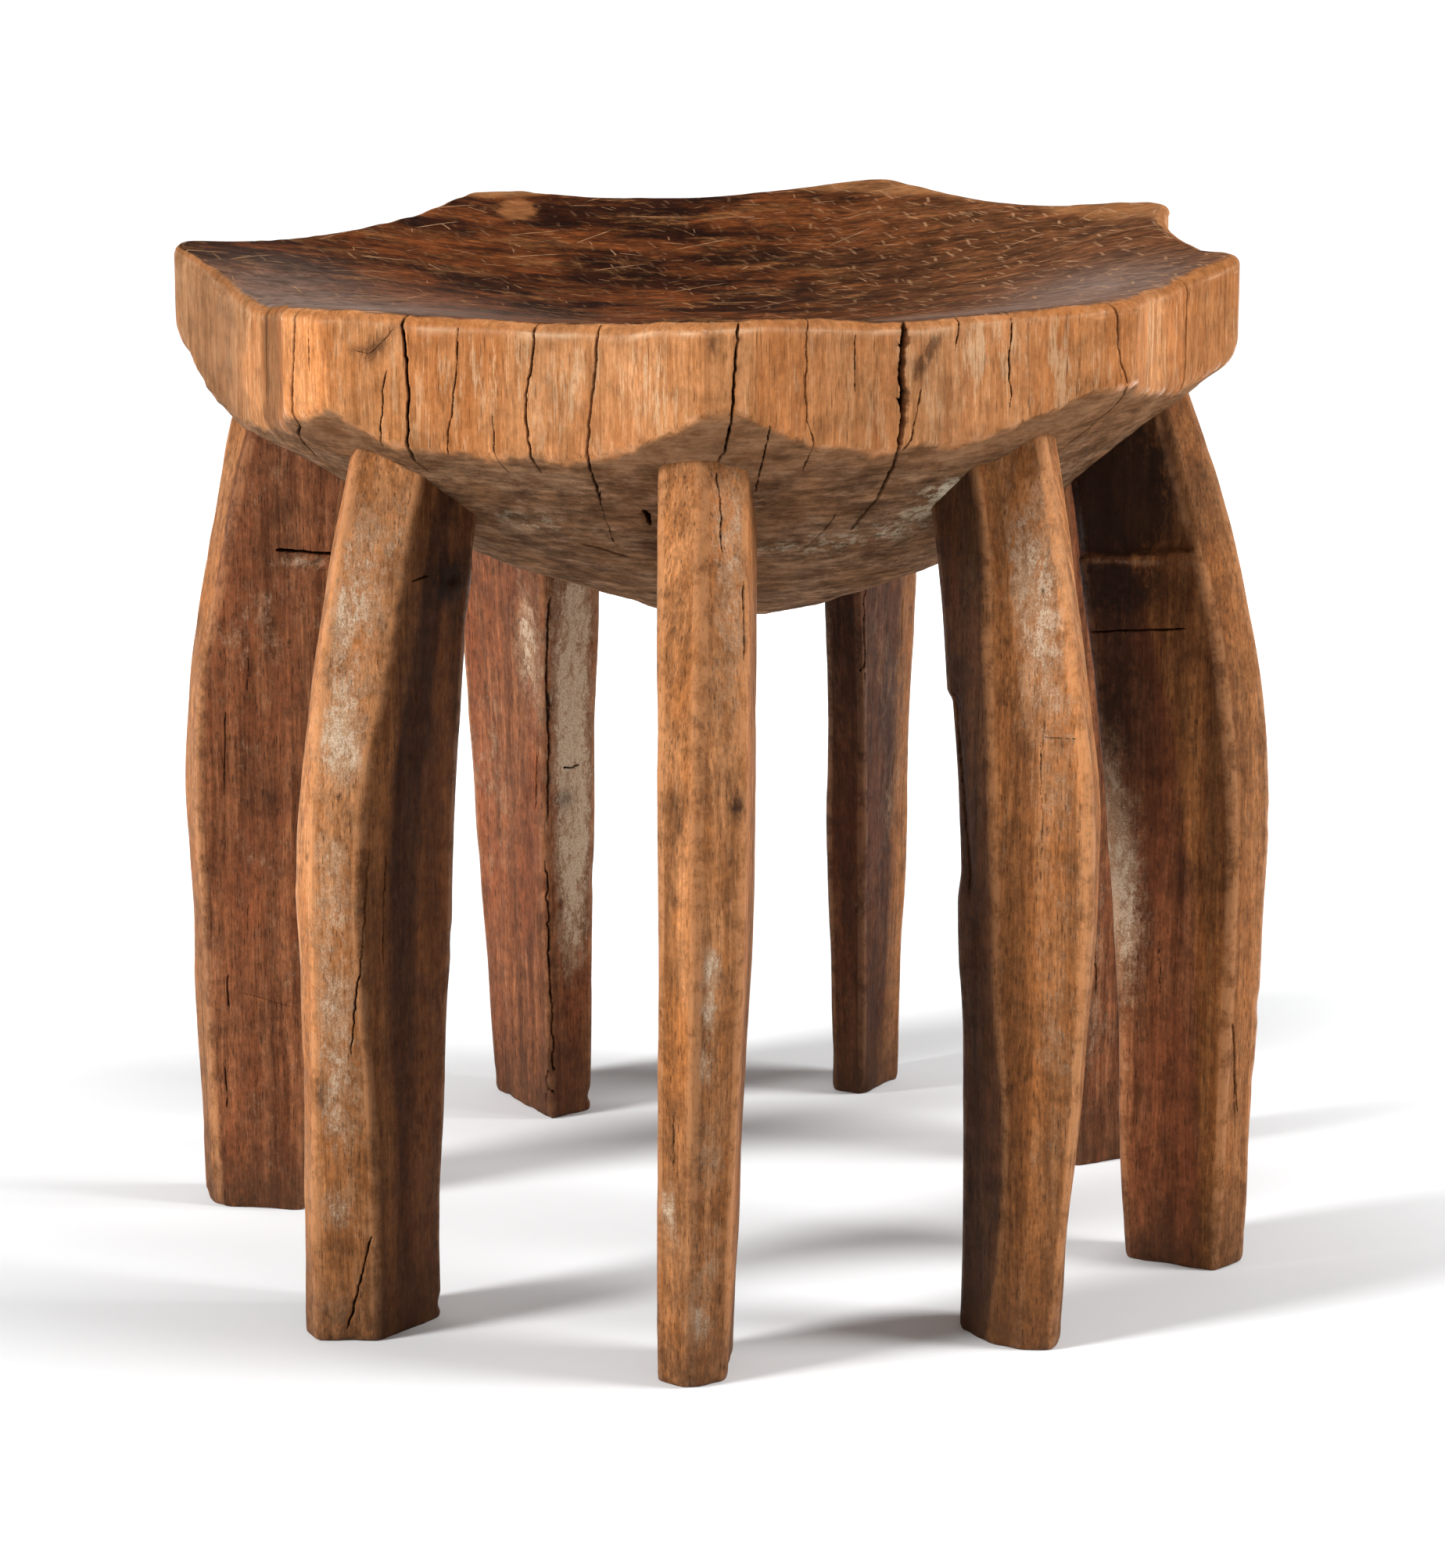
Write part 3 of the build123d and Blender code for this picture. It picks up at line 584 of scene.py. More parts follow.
    # curvature, for the worn edges
    lap = p - (np.roll(p, 1, 1) + np.roll(p, -1, 1)) / 2
    lap[1:-1] += p[1:-1] - (p[2:] + p[:-2]) / 2
    bend = (lap * nrm).sum(-1)
    v = np.concatenate([p.reshape(-1, 3), [[0, 0, dish_z(np.array([0.0]), np.array([0.0]))[0]]], [[RINGS[0][2], 0, RINGS[0][0] - 0.3]]])
    faces = [*grid_faces(len(p), n)]
    a, b = len(v) - 2, len(v) - 1
    last = (len(p) - 1) * n
    faces += [[i, a, (i + 1) % n] for i in range(n)]
    faces += [[last + i, last + (i + 1) % n, b] for i in range(n)]

    def flat(q, first, second):
        return np.r_[q.reshape(-1), first, second]

    zone_top = smooth(top + 1.6, top - 0.4, np.arange(len(p))[:, None] + 0.9 * noise(np.stack([x / 9, y / 9, 0 * x], -1), 75) + 0.6 * noise(np.stack([x / 3, y / 3, 0 * x], -1), 76)) + 0 * rr
    lower = (np.arange(len(p))[:, None] - lastband) + 1.2 * noise(np.stack([x / 16, y / 16, 0 * z], -1), 71) + 0.6 * noise(np.stack([x / 4, y / 4, 0 * z], -1), 72)
    zone_under = smooth(-0.4, 0.9, lower)
    patches = [
        (seat_point(-57.0, 368), (14, 14, 5), 1.3), (seat_point(-60, 356), (16, 12, 5), 0.6), (seat_point(-64, 346), (18, 12, 5), 0.5),
        (seat_point(-76, 342), (20, 14, 6), 0.4), (seat_point(-118, 352), (20, 14, 6), 0.35), (seat_point(150, 362), (20, 18, 8), 0.7),
        (seat_point(40, 350), (24, 18, 8), 0.6),
    ]
    pv = v[:-2]
    pale = blobs(pv, patches) * zone_under.reshape(-1)
    pale += (1 - zone_under.reshape(-1)) * (blobs(pv, [
        (seat_point(-118, 424), (16, 16, 12), 0.55), (seat_point(-108, 418), (12, 12, 16), 0.55), (seat_point(-97, 428), (14, 10, 14), 0.8),
        (seat_point(-60, 430), (18, 14, 14), 0.65), (seat_point(-52, 424), (12, 12, 14), 0.5), (seat_point(-36, 428), (14, 14, 14), 0.5),
        (seat_point(-166, 420), (12, 14, 14), 0.35), (seat_point(10, 426), (16, 16, 14), 0.5), (seat_point(60, 430), (18, 18, 12), 0.5),
        (seat_point(105, 424), (18, 18, 12), 0.5), (seat_point(155, 420), (18, 18, 12), 0.5)]))
    stain_and_shade = blobs(pv, [
        (seat_point(-129.9, 428), (3.0, 3.0, 2.6), 1.6), (seat_point(-129.3, 430.5), (2.2, 2.2, 2.2), 1.1), (seat_point(-128.6, 433.6), (2, 2, 2.6), 1.0), (seat_point(-127.9, 437.5), (2, 2, 2.8), 0.8), (seat_point(-131, 429.4), (2.2, 2.2, 1.8), 0.9), (seat_point(-91, 441), (1.6, 3, 5), 1.3), (seat_point(-65.3, 436), (2.2, 2.2, 3), 1.1), (seat_point(-66.1, 431.5), (2.6, 2.6, 3.2), 1.5), (seat_point(-67, 426.5), (2.6, 2.6, 3.2), 1.3),
        (seat_point(-67.6, 421), (2, 2, 3), 0.9), (seat_point(-158, 415), (3.4, 3.4, 40), 0.35), (seat_point(-41, 404), (10, 10, 5), 0.5),
        (seat_point(-97, 420), (3, 3, 3), 0.4), (seat_point(-110, 414), (4, 4, 3), 0.3), (seat_point(-100.2, 359.6), (2.4, 2.4, 3.4), 1.3),
        (seat_point(-31, 404), (12, 12, 4), 0.4), (seat_point(100, 430), (4, 4, 8), 0.6), (seat_point(168, 420), (4, 4, 20), 0.6),
        (seat_point(38, 420), (4, 4, 20), 0.5)])
    turned = np.arange(len(p))[:, None] + 0.7 * noise(np.stack([x / 14, y / 14, 0 * x], -1), 77)
    # painted highlight: a thin light line along the lip below the bevel, broken up by noise, strongest at the front
    lip = np.exp(-((turned - top - 6.8) / 0.9) ** 2) * (0.35 + 0.75 * np.clip(0.5 + 1.2 * noise(np.stack([x / 11, y / 11, 0 * x], -1), 78), 0, 1))
    lip = (lip * (0.25 + 0.75 * np.exp(-((az - 262) / 34.0) ** 4))[None]).reshape(-1)
    shade = np.exp(-((turned - top - 3.2) / 2.4) ** 2).reshape(-1)
    sap = np.hypot(pv[:, 0] + 21, pv[:, 1] + 27) - 243 + 4.0 * noise(np.c_[pv[:, 0] / 22, pv[:, 1] / 22, 0 * pv[:, 0]], 81)
    turn = (np.degrees(np.arctan2(pv[:, 1], pv[:, 0])) + 180) % 360 - 180
    ta, tv = np.array(BAND_TONE, float).T
    tone = np.interp(turn + 1.2 * noise(pv / 9, 91), ta, tv)
    # front patches of the top that get a gloss coat and a painted grey sheen
    gloss_and_painted_sheen = blobs(pv, [((-162, -98, 440), (66, 56, 30), 1.05), ((95, -138, 440), (74, 34, 30), 0.85), ((165, -66, 440), (34, 50, 30), 0.8), ((-200, -40, 440), (30, 50, 30), 0.5)])
    ga, gv = np.array(BAND_GREY, float).T
    greying_and_sheen = np.where(zone_top.reshape(-1) > 0.5, gloss_and_painted_sheen, np.interp(turn, ga, gv))
    attrs = {
        "tone": np.r_[tone, 1, 1], "greying_and_sheen": np.r_[greying_and_sheen, 0, 0],
        "zone_top": flat(zone_top, 1, 0), "zone_under": flat(zone_under, 0, 1), "edge": flat(bend, 0, 0),
        "pale": np.r_[pale, 0, 0], "stain_and_shade": np.r_[stain_and_shade, 0, 0], "sap": np.r_[smooth(-4, 5, sap), 0, 0],
        "down": flat(np.clip((430 - z) / 130, 0, 1), 0, 1), "lip": np.r_[lip, 0, 0], "shade": np.r_[shade, 0, 0],
    }
    cracks = []
    for i, (w, depth, path) in enumerate(SEAT_CRACKS):
        q, length = wander([seat_point(*u) for u in path], seed=100 + i)
        q = on_skin(q, v, faces)
        cracks.append((w, depth, q, length))
    return solid("seat_hewn", v, faces, attrs, cracks, material=material, node="seat")


# ---------------------------------------------------------------- legs
# per leg: tenon middle (radius, side), half sizes; spots are (radius, side, height) with sizes and strength
LEG_FACTS = {
    "leg_front": dict(
        tenon=(193, 2, 16, 9), heart=30,
        cracks=[(0.4, 1.6, [(210.8, 6.0, 384.4), (213.5, 7.5, 374.0), (216.1, 8.2, 365.0), (219.2, 8.6, 353.0)]),
                (0.5, 1.4, [(217.7, 17.6, 341.1), (222.2, 18.2, 323.0), (225.5, 18.4, 310.0)]),
                (0.35, 1.2, [(238.0, -9.0, 120.0), (238.2, -9.4, 96.0)])],
        pale=[((216, 14, 368), (14, 8, 22), 0.62), ((226, 13, 330), (12, 6, 26), 0.6), ((240, 6, 186), (7, 3.4, 8), 1.7), ((240, 4, 166), (7, 4, 10), 1.5), ((240, 3, 142), (7, 3.4, 8), 1.3),
              ((238, -13, 80), (7, 3.6, 7), 1.6), ((238, -10, 66), (7, 3.4, 6), 0.9), ((239, 4, 104), (8, 6, 14), 0.6), ((238, 0, 30), (8, 5, 12), 1.3), ((238, 4, 56), (8, 6, 12), 0.6),
              ((230, -14, 250), (8, 6, 14), 0.3)],
        stain_and_shade=[((241.7, -6.4, 246.0), (4, 3.4, 9), 0.9), ((236.2, 15.5, 252.0), (4, 3.0, 4), 1.6), ((240, -8, 212), (4, 2.4, 3), 1.2), ((239, -10, 118), (3, 4, 8), 0.35),
               ((232, 14, 200), (4, 4, 30), 0.25)]),
    "leg_front_left": dict(
        tenon=(190, -1, 16, 9), heart=12.5,
        cracks=[(0.45, 2.0, [(232.7, 16.0, 219.0), (235.1, 16.0, 197.0), (237.3, 15.8, 170.0), (238.4, 13.9, 147.0), (239.5, 12.0, 130.0)]),
                (0.5, 2.2, [(232.5, 15.2, 48.0), (235.7, 11.5, 27.0), (240.0, 7.5, 6.0)]),
                (0.5, 1.6, [(222.0, 17.0, 214.0), (224.0, 17.0, 190.0), (225.0, 17.0, 168.0)]),
                (0.5, 1.4, [(206.0, 16.5, 330.0), (196.0, 16.5, 331.0)])],
        pale=[((224, 4, 345), (10, 9, 20), 0.5), ((230, 4, 318), (10, 10, 16), 0.94), ((237, 7, 287), (8, 8, 12), 0.62), ((240, 8, 264), (9, 9, 15), 1.36), ((243, 7, 216), (7, 6, 8), 0.69),
              ((243, 7, 190), (8, 9, 14), 0.75), ((243, 6, 150), (8, 8, 16), 0.88), ((243, 7, 122), (8, 8, 12), 0.75), ((243, 5, 100), (8, 9, 12), 0.69), ((243, 5, 60), (8, 7, 8), 0.88), ((242, 3, 14), (8, 7, 8), 0.62),
              ((214, 16, 350), (10, 5, 14), 0.44)],
        stain_and_shade=[((182.5, 15.8, 327.5), (7, 5, 8), 2.2), ((246.9, 1.5, 111.0), (3, 3, 7), 0.8), ((243, 6, 44), (5, 6, 8), 0.5), ((226, 2, 360), (8, 8, 8), 0.35), ((205, 16, 280), (14, 5, 60), 0.5),
               ((236, 14, 200), (4, 5, 60), 0.35), ((241, 9, 240), (5, 4, 6), 0.3)]),
    "leg_left": dict(
        tenon=(193, 0, 16, 9), heart=17,
        cracks=[(0.9, 4.5, [(200.0, 19.4, 311.7), (196.3, 19.4, 311.5), (183.1, 19.5, 310.6), (168.0, 19.5, 309.8)]),
                (0.28, 1.0, [(224.7, 19.0, 236.0), (225.7, 19.1, 218.0), (226.4, 19.0, 197.0)]),
                (0.25, 0.8, [(214.0, 19.0, 262.0), (214.4, 19.0, 246.0)]),
                (0.4, 1.0, [(227.0, 17.5, 112.0), (226.6, 17.5, 96.0)]), (0.4, 1.0, [(229.0, 17.0, 70.0), (228.6, 17.0, 48.0)]),
                (0.2, 0.6, [(220.0, 18.0, 104.0), (208.0, 18.0, 101.0), (196.0, 18.0, 98.0)]),
                (0.6, 2.0, [(222.0, -18.0, 260.0), (223.0, -18.0, 210.0), (221.0, -18.0, 170.0)])],
        pale=[((188, 19, 306.5), (11, 4, 2.6), 0.9), ((243, 3, 262), (6, 8, 8), 0.5), ((215, 19, 270), (12, 5, 14), 0.25), ((244, 2, 130), (6, 8, 40), 0.35), ((205, -18, 200), (20, 6, 60), 0.6), ((226, -17, 90), (12, 6, 30), 0.6)],
        stain_and_shade=[((205.8, 19.0, 197.0), (5, 5, 9), 0.7), ((212, 19, 250), (20, 6, 12), 0.2), ((198, 18, 6), (40, 8, 7), 0.35)]),
    "leg_back_left": dict(
        tenon=(193, 1, 16, 9), heart=24,
        cracks=[(0.7, 2.2, [(169.0, 9.7, 262.0), (170.4, 11.2, 228.0), (172.0, 9.4, 189.0), (172.4, 10.4, 151.0)]),
                (0.6, 2.2, [(172.8, 10.8, 131.0), (173.5, 9.6, 91.0), (174.2, 8.0, 40.0), (176.0, 8.0, 4.0)]),
                (0.8, 2.4, [(177.0, 12.4, 182.0), (177.6, 12.2, 168.0), (178.2, 12.0, 156.0)]), (0.7, 2.0, [(172.0, 10.0, 214.0), (172.4, 9.6, 200.0)]),
                (0.6, 1.6, [(173.6, 1.0, 176.0), (174.6, -3.5, 175.0), (176.0, -8.0, 176.0)]),
                (0.6, 2.0, [(222.0, -18.0, 250.0), (223.0, -18.0, 214.0)])],
        pale=[((171.5, -4, 262), (7, 10, 22), 1.6), ((173.5, -4, 220), (7, 10, 26), 1.76), ((175, -4, 175), (7, 10, 30), 2.08), ((176.5, -4, 130), (7, 9, 26), 2.08), ((178, -5, 90), (7, 8, 16), 1.12),
              ((182, 13, 232), (10, 5, 22), 1.36), ((184, 13, 258), (8, 5, 16), 0.96), ((220, 20, 160), (20, 6, 50), 0.48), ((226, -17, 120), (10, 6, 40), 0.96)],
        stain_and_shade=[((176, 12, 255), (6, 4, 60), 0.3), ((173, 11, 200), (3, 3.4, 120), 0.6), ((174, 1, 160), (3, 5, 4), 0.8), ((176, -6, 30), (8, 10, 26), 0.35), ((176, 10, 20), (6, 5, 30), 0.5)]),
    "leg_back": dict(
        tenon=(197, -3, 14, 8), heart=26,
        cracks=[(0.5, 1.8, [(184.0, -10.4, 290.0), (184.8, -10.2, 252.0), (188.0, -10.0, 214.0)]), (0.4, 1.4, [(222.0, -16.5, 250.0), (224.0, -16.0, 214.0)]),
                (0.6, 2.0, [(226.0, 14.5, 240.0), (227.0, 14.5, 190.0), (226.0, 13.5, 150.0)])],
        pale=[((196, -13, 250), (8, 5, 30), 0.5), ((210, -15, 219), (10, 5, 22), 0.5), ((222.7, -15.3, 157), (10, 5, 30), 0.45), ((199, -8, 110), (8, 6, 26), 0.35), ((190, 8, 230), (10, 6, 50), 0.4), ((224, 15, 120), (12, 6, 50), 0.6)],
        stain_and_shade=[((183, -4, 250), (7, 8, 70), 0.5), ((196, -2, 120), (7, 7, 60), 0.4), ((190, -11, 200), (6, 4, 120), 0.3), ((205, 0, 6), (40, 20, 8), 0.45)]),
    "leg_back_right": dict(
        tenon=(193, 0, 16, 9), heart=20,
        cracks=[(0.4, 1.4, [(190.0, -16.0, 150.0), (191.0, -16.0, 112.0), (192.0, -15.6, 84.0)]), (0.7, 2.4, [(215.0, 17.0, 250.0), (216.0, 17.0, 205.0), (214.0, 16.0, 160.0)]),
                (0.5, 1.6, [(240.0, 3.0, 120.0), (239.0, 4.0, 80.0)])],
        pale=[((188.7, -16.2, 128), (8, 5, 40), 0.5), ((191, -16, 60), (10, 5, 24), 0.5), ((238, 6, 220), (10, 9, 30), 0.7), ((240, 5, 120), (10, 9, 40), 0.6), ((200, 16, 200), (20, 6, 60), 0.5)],
        stain_and_shade=[((190, -15, 200), (14, 6, 40), 0.4), ((200, 0, 5), (40, 20, 8), 0.4)]),
    "leg_right": dict(
        tenon=(193, 3, 16, 9), heart=42,
        warm=[((219, -15, 252), (9, 6, 26), 0.55), ((217, -15, 200), (9, 6, 32), 0.95), ((215, -15, 150), (10, 6, 28), 0.85), ((214, -15, 312), (14, 6, 18), -0.2),
              ((233, -9, 322), (11, 8, 26), 0.75)],
        cracks=[(0.45, 1.6, [(173.0, -16.0, 288.0), (186.0, -16.0, 289.6), (203.0, -15.8, 290.6), (214.9, -15.4, 292.0)]),
                (0.7, 2.2, [(238.2, -14.0, 114.0), (239.7, -11.8, 95.0), (240.9, -8.6, 72.0)]), (0.4, 1.3, [(240.0, -12.0, 92.0), (241.0, -9.6, 60.0)]),
                (0.4, 1.4, [(206.0, -16.0, 150.0), (207.0, -16.0, 126.0)]), (0.6, 2.0, [(214.0, 17.0, 250.0), (216.0, 17.0, 200.0), (214.0, 16.0, 150.0)])],
        # the first pale spot is a painted highlight along the ledge's top edge
        pale=[((188, -15, 320.3), (26, 6, 1.3), 0.75), ((181, -16, 232), (7, 5, 14), 0.8), ((184, -16, 205), (8, 5, 16), 1.16), ((187, -16, 180), (9, 5, 18), 1.38), ((189, -16, 155), (8, 5, 16), 1.16), ((191, -15, 118), (6, 5, 26), 0.58),
              ((238, -1, 355), (12, 6, 40), 0.25), ((246, 4, 220), (8, 8, 50), 0.40), ((205, 17, 190), (20, 6, 60), 0.72)],
        # the first entry clears the dark from the ledge's painted highlight; the next two are painted shade in the
        # recess under the seat
        stain_and_shade=[((190, -15, 320.8), (30, 6, 1.7), -2.6), ((178, -15, 345), (18, 9, 22), 2.2), ((190, -14, 352), (13, 9, 24), 1.7), ((182, -16, 308), (15, 6, 9), 1.5), ((184, -16, 262), (14, 6, 30), 0.9), ((203.7, -13.3, 5.0), (14, 7, 7), 1.1),
               ((222, -14, 182), (4, 4, 5), 1.0), ((228, -14, 230), (4, 4, 34), 0.5), ((229, -12, 178), (1.6, 1.6, 2), 1.2), ((215, -15, 200), (3, 5, 70), 0.35)]),
    "leg_front_right": dict(
        tenon=(189, 1, 16, 9), heart=38,
        cracks=[(0.8, 3.4, [(182.4, -19.0, 281.5), (185.8, -19.2, 260.0), (189.4, -19.2, 238.0), (192.4, -19.2, 216.0), (195.0, -19.2, 196.0)]),
                (0.5, 2.2, [(182.4, -19.0, 281.5), (188.0, -19.0, 278.0), (191.0, -19.2, 264.0)]),
                (0.25, 0.8, [(226.5, -8.0, 266.0), (227.5, -8.2, 240.0), (228.5, -8.6, 216.0)]), (0.2, 0.5, [(228.0, -7.0, 268.0), (238.0, -3.5, 269.0), (244.0, -2.0, 269.6)])],
        pale=[((214, -5, 352), (10, 8, 16), 0.28), ((218, -4, 335), (10, 8, 18), 0.56), ((224, -4, 306), (10, 8, 20), 0.8), ((228, -3, 272), (9, 8, 14), 0.42), ((235, -3, 240), (9, 7, 12), 0.35), ((219, 4, 335), (9, 6, 18), 0.35), ((226, 5, 306), (9, 6, 20), 0.5), ((231, 4, 272), (9, 6, 18), 0.5), ((236, 3, 242), (9, 6, 16), 0.4), ((239, 3, 210), (8, 6, 16), 0.3),
              ((238, -2, 196), (8, 8, 16), 0.24), ((236, -4, 140), (7, 7, 24), 0.39), ((232, -8, 100), (8, 7, 20), 0.21), ((196, -19, 330), (12, 5, 20), 0.24)],
        stain_and_shade=[((246, 2, 180), (1.8, 1.8, 2), 1.1), ((243, 4, 100), (2, 2, 2.4), 1.1), ((221, -12, 262), (4, 4, 16), 0.4), ((196, -19, 280), (14, 5, 70), 0.35), ((214, -18, 60), (20, 6, 60), 0.3)]),
}


# how light each leg is by height; depth of its heartwood; heartwood's distance in from the outer ridge, by height; how sharp that change is
LEG_TONE = {
    "leg_front": ([(0, 0.62), (30, 0.76), (120, 0.82), (200, 0.94), (300, 1.02), (405, 0.97)], 0.9, [(0, 60)], 5),
    "leg_front_left": ([(0, 0.62), (40, 0.80), (110, 0.92), (200, 1.04), (300, 1.06), (350, 0.98), (405, 0.86)], 0.80, [(0, 200)], 5),
    "leg_left": ([(0, 0.70), (40, 0.95), (150, 1.0), (405, 1.0)], 1.22, [(0, 9.5), (150, 8.5), (260, 9.0), (405, 11)], 2),
    "leg_back_left": ([(0, 0.62), (60, 0.92), (200, 1.0), (405, 1.0)], 1.40, [(0, 8)], 4),
    "leg_back": ([(0, 0.55), (100, 0.72), (250, 0.62), (405, 0.80)], 0.75, [(0, 26)], 5),
    "leg_back_right": ([(0, 0.75), (100, 0.95), (405, 0.9)], 1.5, [(0, 20)], 5),
    "leg_right": ([(0, 0.78), (60, 1.08), (200, 1.0), (300, 0.86), (405, 0.78)], 1.0, [(0, 15), (50, 18), (100, 22), (160, 26), (200, 33), (250, 37), (300, 41), (405, 46)], 3),
    "leg_front_right": ([(0, 0.55), (40, 0.68), (120, 0.77), (200, 0.84), (260, 0.96), (330, 1.04), (405, 0.92)], 0.80, [(0, 200)], 5),
}
# round the section from the outer ridge, one unit for each face: lightness, heartwood, amber, rubbed film. The low
# lightness on the shaded flanks of leg_front_left and leg_front_right is partly painted shade over their darker
# heartwood
LEG_FACES = {
    "leg_front": [(0, .74, 0, .3, .05), (.14, .76, 0, .3, .10), (.32, .93, 0, .1, .34), (.90, .93, 0, .1, .30), (.97, 1.10, 0, .2, .0), (1.3, 1.05, 0, .3, 0), (1.5, .8, .3, .3, 0),
                  (3.6, .8, 0, .2, 0), (4.0, 1.08, 0, .1, .05), (4.90, 1.08, 0, .15, .05), (4.97, .84, 0, .3, .0), (5, .74, 0, .3, .0)],
    "leg_front_left": [(0, 1.25, 0, 0, .1), (.06, 1.0, 0, .12, .36), (.97, .98, 0, .15, .36), (1.02, .66, .2, .9, .05), (1.25, .60, .3, .9, .02), (1.33, .36, .6, .9, 0), (1.56, .36, .7, .9, 0),
                       (1.64, .60, .50, .8, .04), (2.0, .56, .6, .8, .05), (2.1, .6, 1, .4, .1), (3.9, .7, .8, .4, .2), (4.0, 1.08, 0, 0, .1), (4.2, 1.15, 0, 0, .1), (5, 1.20, 0, 0, .06)],
    "leg_left": [(0, 1.0, 0, .25, .15), (.9, .95, 0, .3, .10), (1.0, 1.0, 0, .2, .12), (1.1, 1.06, 0, 0, .16), (2, 1.06, 0, 0, .16), (5, 1.0, 0, .2, .10)],
    "leg_back_left": [(0, 1, 0, 0, 0), (5, 1, 0, 0, 0)],
    "leg_back": [(0, 1, 0, .5, 0), (5, 1, 0, .5, 0)],
    "leg_back_right": [(0, 1, 0, .3, 0), (5, 1, 0, .3, 0)],
    "leg_right": [(0, .95, 0, 0, .2), (1, .9, 0, .4, .1), (2, .8, 0, .6, 0), (3, .84, 0, 1, 0), (3.55, .80, 0, 1, 0), (3.70, .66, 0, 1, 0), (3.95, .62, 0, 1, 0), (4.0, .82, 0, .6, 0), (4.9, .82, 0, .55, .02), (5, .95, 0, .2, .1)],
    "leg_front_right": [(0, 1.28, 0, 0, .2), (.18, 1.08, 0, .25, .05), (1, 1.05, 0, .3, .05), (1.2, .7, .3, .5, 0), (3.0, .5, .6, .5, 0), (3.10, .42, .6, .5, .04), (3.93, .40, .6, .5, 0),
                        (4.0, .66, .1, .9, 0), (4.15, .90, 0, .85, .05), (4.93, .92, 0, .8, .08), (5.0, .92, 0, .3, .40), (5.80, .92, 0, .3, .36), (5.88, 1.25, 0, .1, .3), (6, 1.30, 0, 0, .2)],
}
# how much of that film each leg keeps, by height
LEG_FILM = {
    "leg_front": [(0, .2), (100, .25), (170, .5), (230, .3), (290, .8), (405, .9)],
    "leg_front_left": [(0, .4), (60, .7), (120, .75), (200, .8), (290, .9), (340, 1.1), (385, .7)],
    "leg_front_right": [(0, .15), (60, .2), (130, .45), (190, .5), (250, .7), (285, 1.0), (345, 1.25), (405, 1.0)],
}


def leg_shape(name, step=1.5, zstep=1.6, embed=5.0, softening=2):
    """Grid of the leg's skin in its own directions (radial, side, height) and in the seat's, from the floor up into the seat."""
    az, table = LEGS[name]
    table = np.array(table, float)
    lens = np.linalg.norm(np.roll(table, -1, 1) - table, axis=2).mean(0)
    cnt = np.maximum(5, np.round(lens / step).astype(int))
    corners = table.shape[1]
    side = np.concatenate([np.full(c, k) for k, c in enumerate(cnt)])
    frac = np.concatenate([np.arange(c) / c for c in cnt])
    n = len(side)
    a = math.radians(az)
    out, across = np.array([math.cos(a), math.sin(a)]), np.array([-math.sin(a), math.cos(a)])
    col = np.arange(n)

    def local(z):
        sec = hermite(LEG_Z, table, z)
        p0, p1 = sec[..., col, side, :], sec[..., col, (side + 1) % corners, :]
        p = p0 + (p1 - p0) * frac[:, None]
        for _ in range(softening):
            p = (np.roll(p, 1, -2) + 2 * p + np.roll(p, -1, -2)) / 4
        return p

    limit = 393.0 if name == "leg_front_right" else 403.0
    tip = np.full(n, 360.0)
    for _ in range(25):
        p = local(tip)
        xy = p[:, :1] * out + p[:, 1:] * across
        tip = 0.5 * tip + 0.5 * np.clip(bowl_z(xy[:, 0], xy[:, 1]) + embed, 330, limit)
    foot = np.array([0.0, 0.35, 0.9, 1.7, 2.7, 4.0])
    body = np.linspace(5.4, 325, int(320 / zstep))
    head = np.linspace(0, 1, 40)[1:]
    z = np.concatenate([(np.r_[foot, body])[:, None] + np.zeros(n), 325 + (tip - 325) * head[:, None]])
    return az, out, across, side + frac, local(z), z


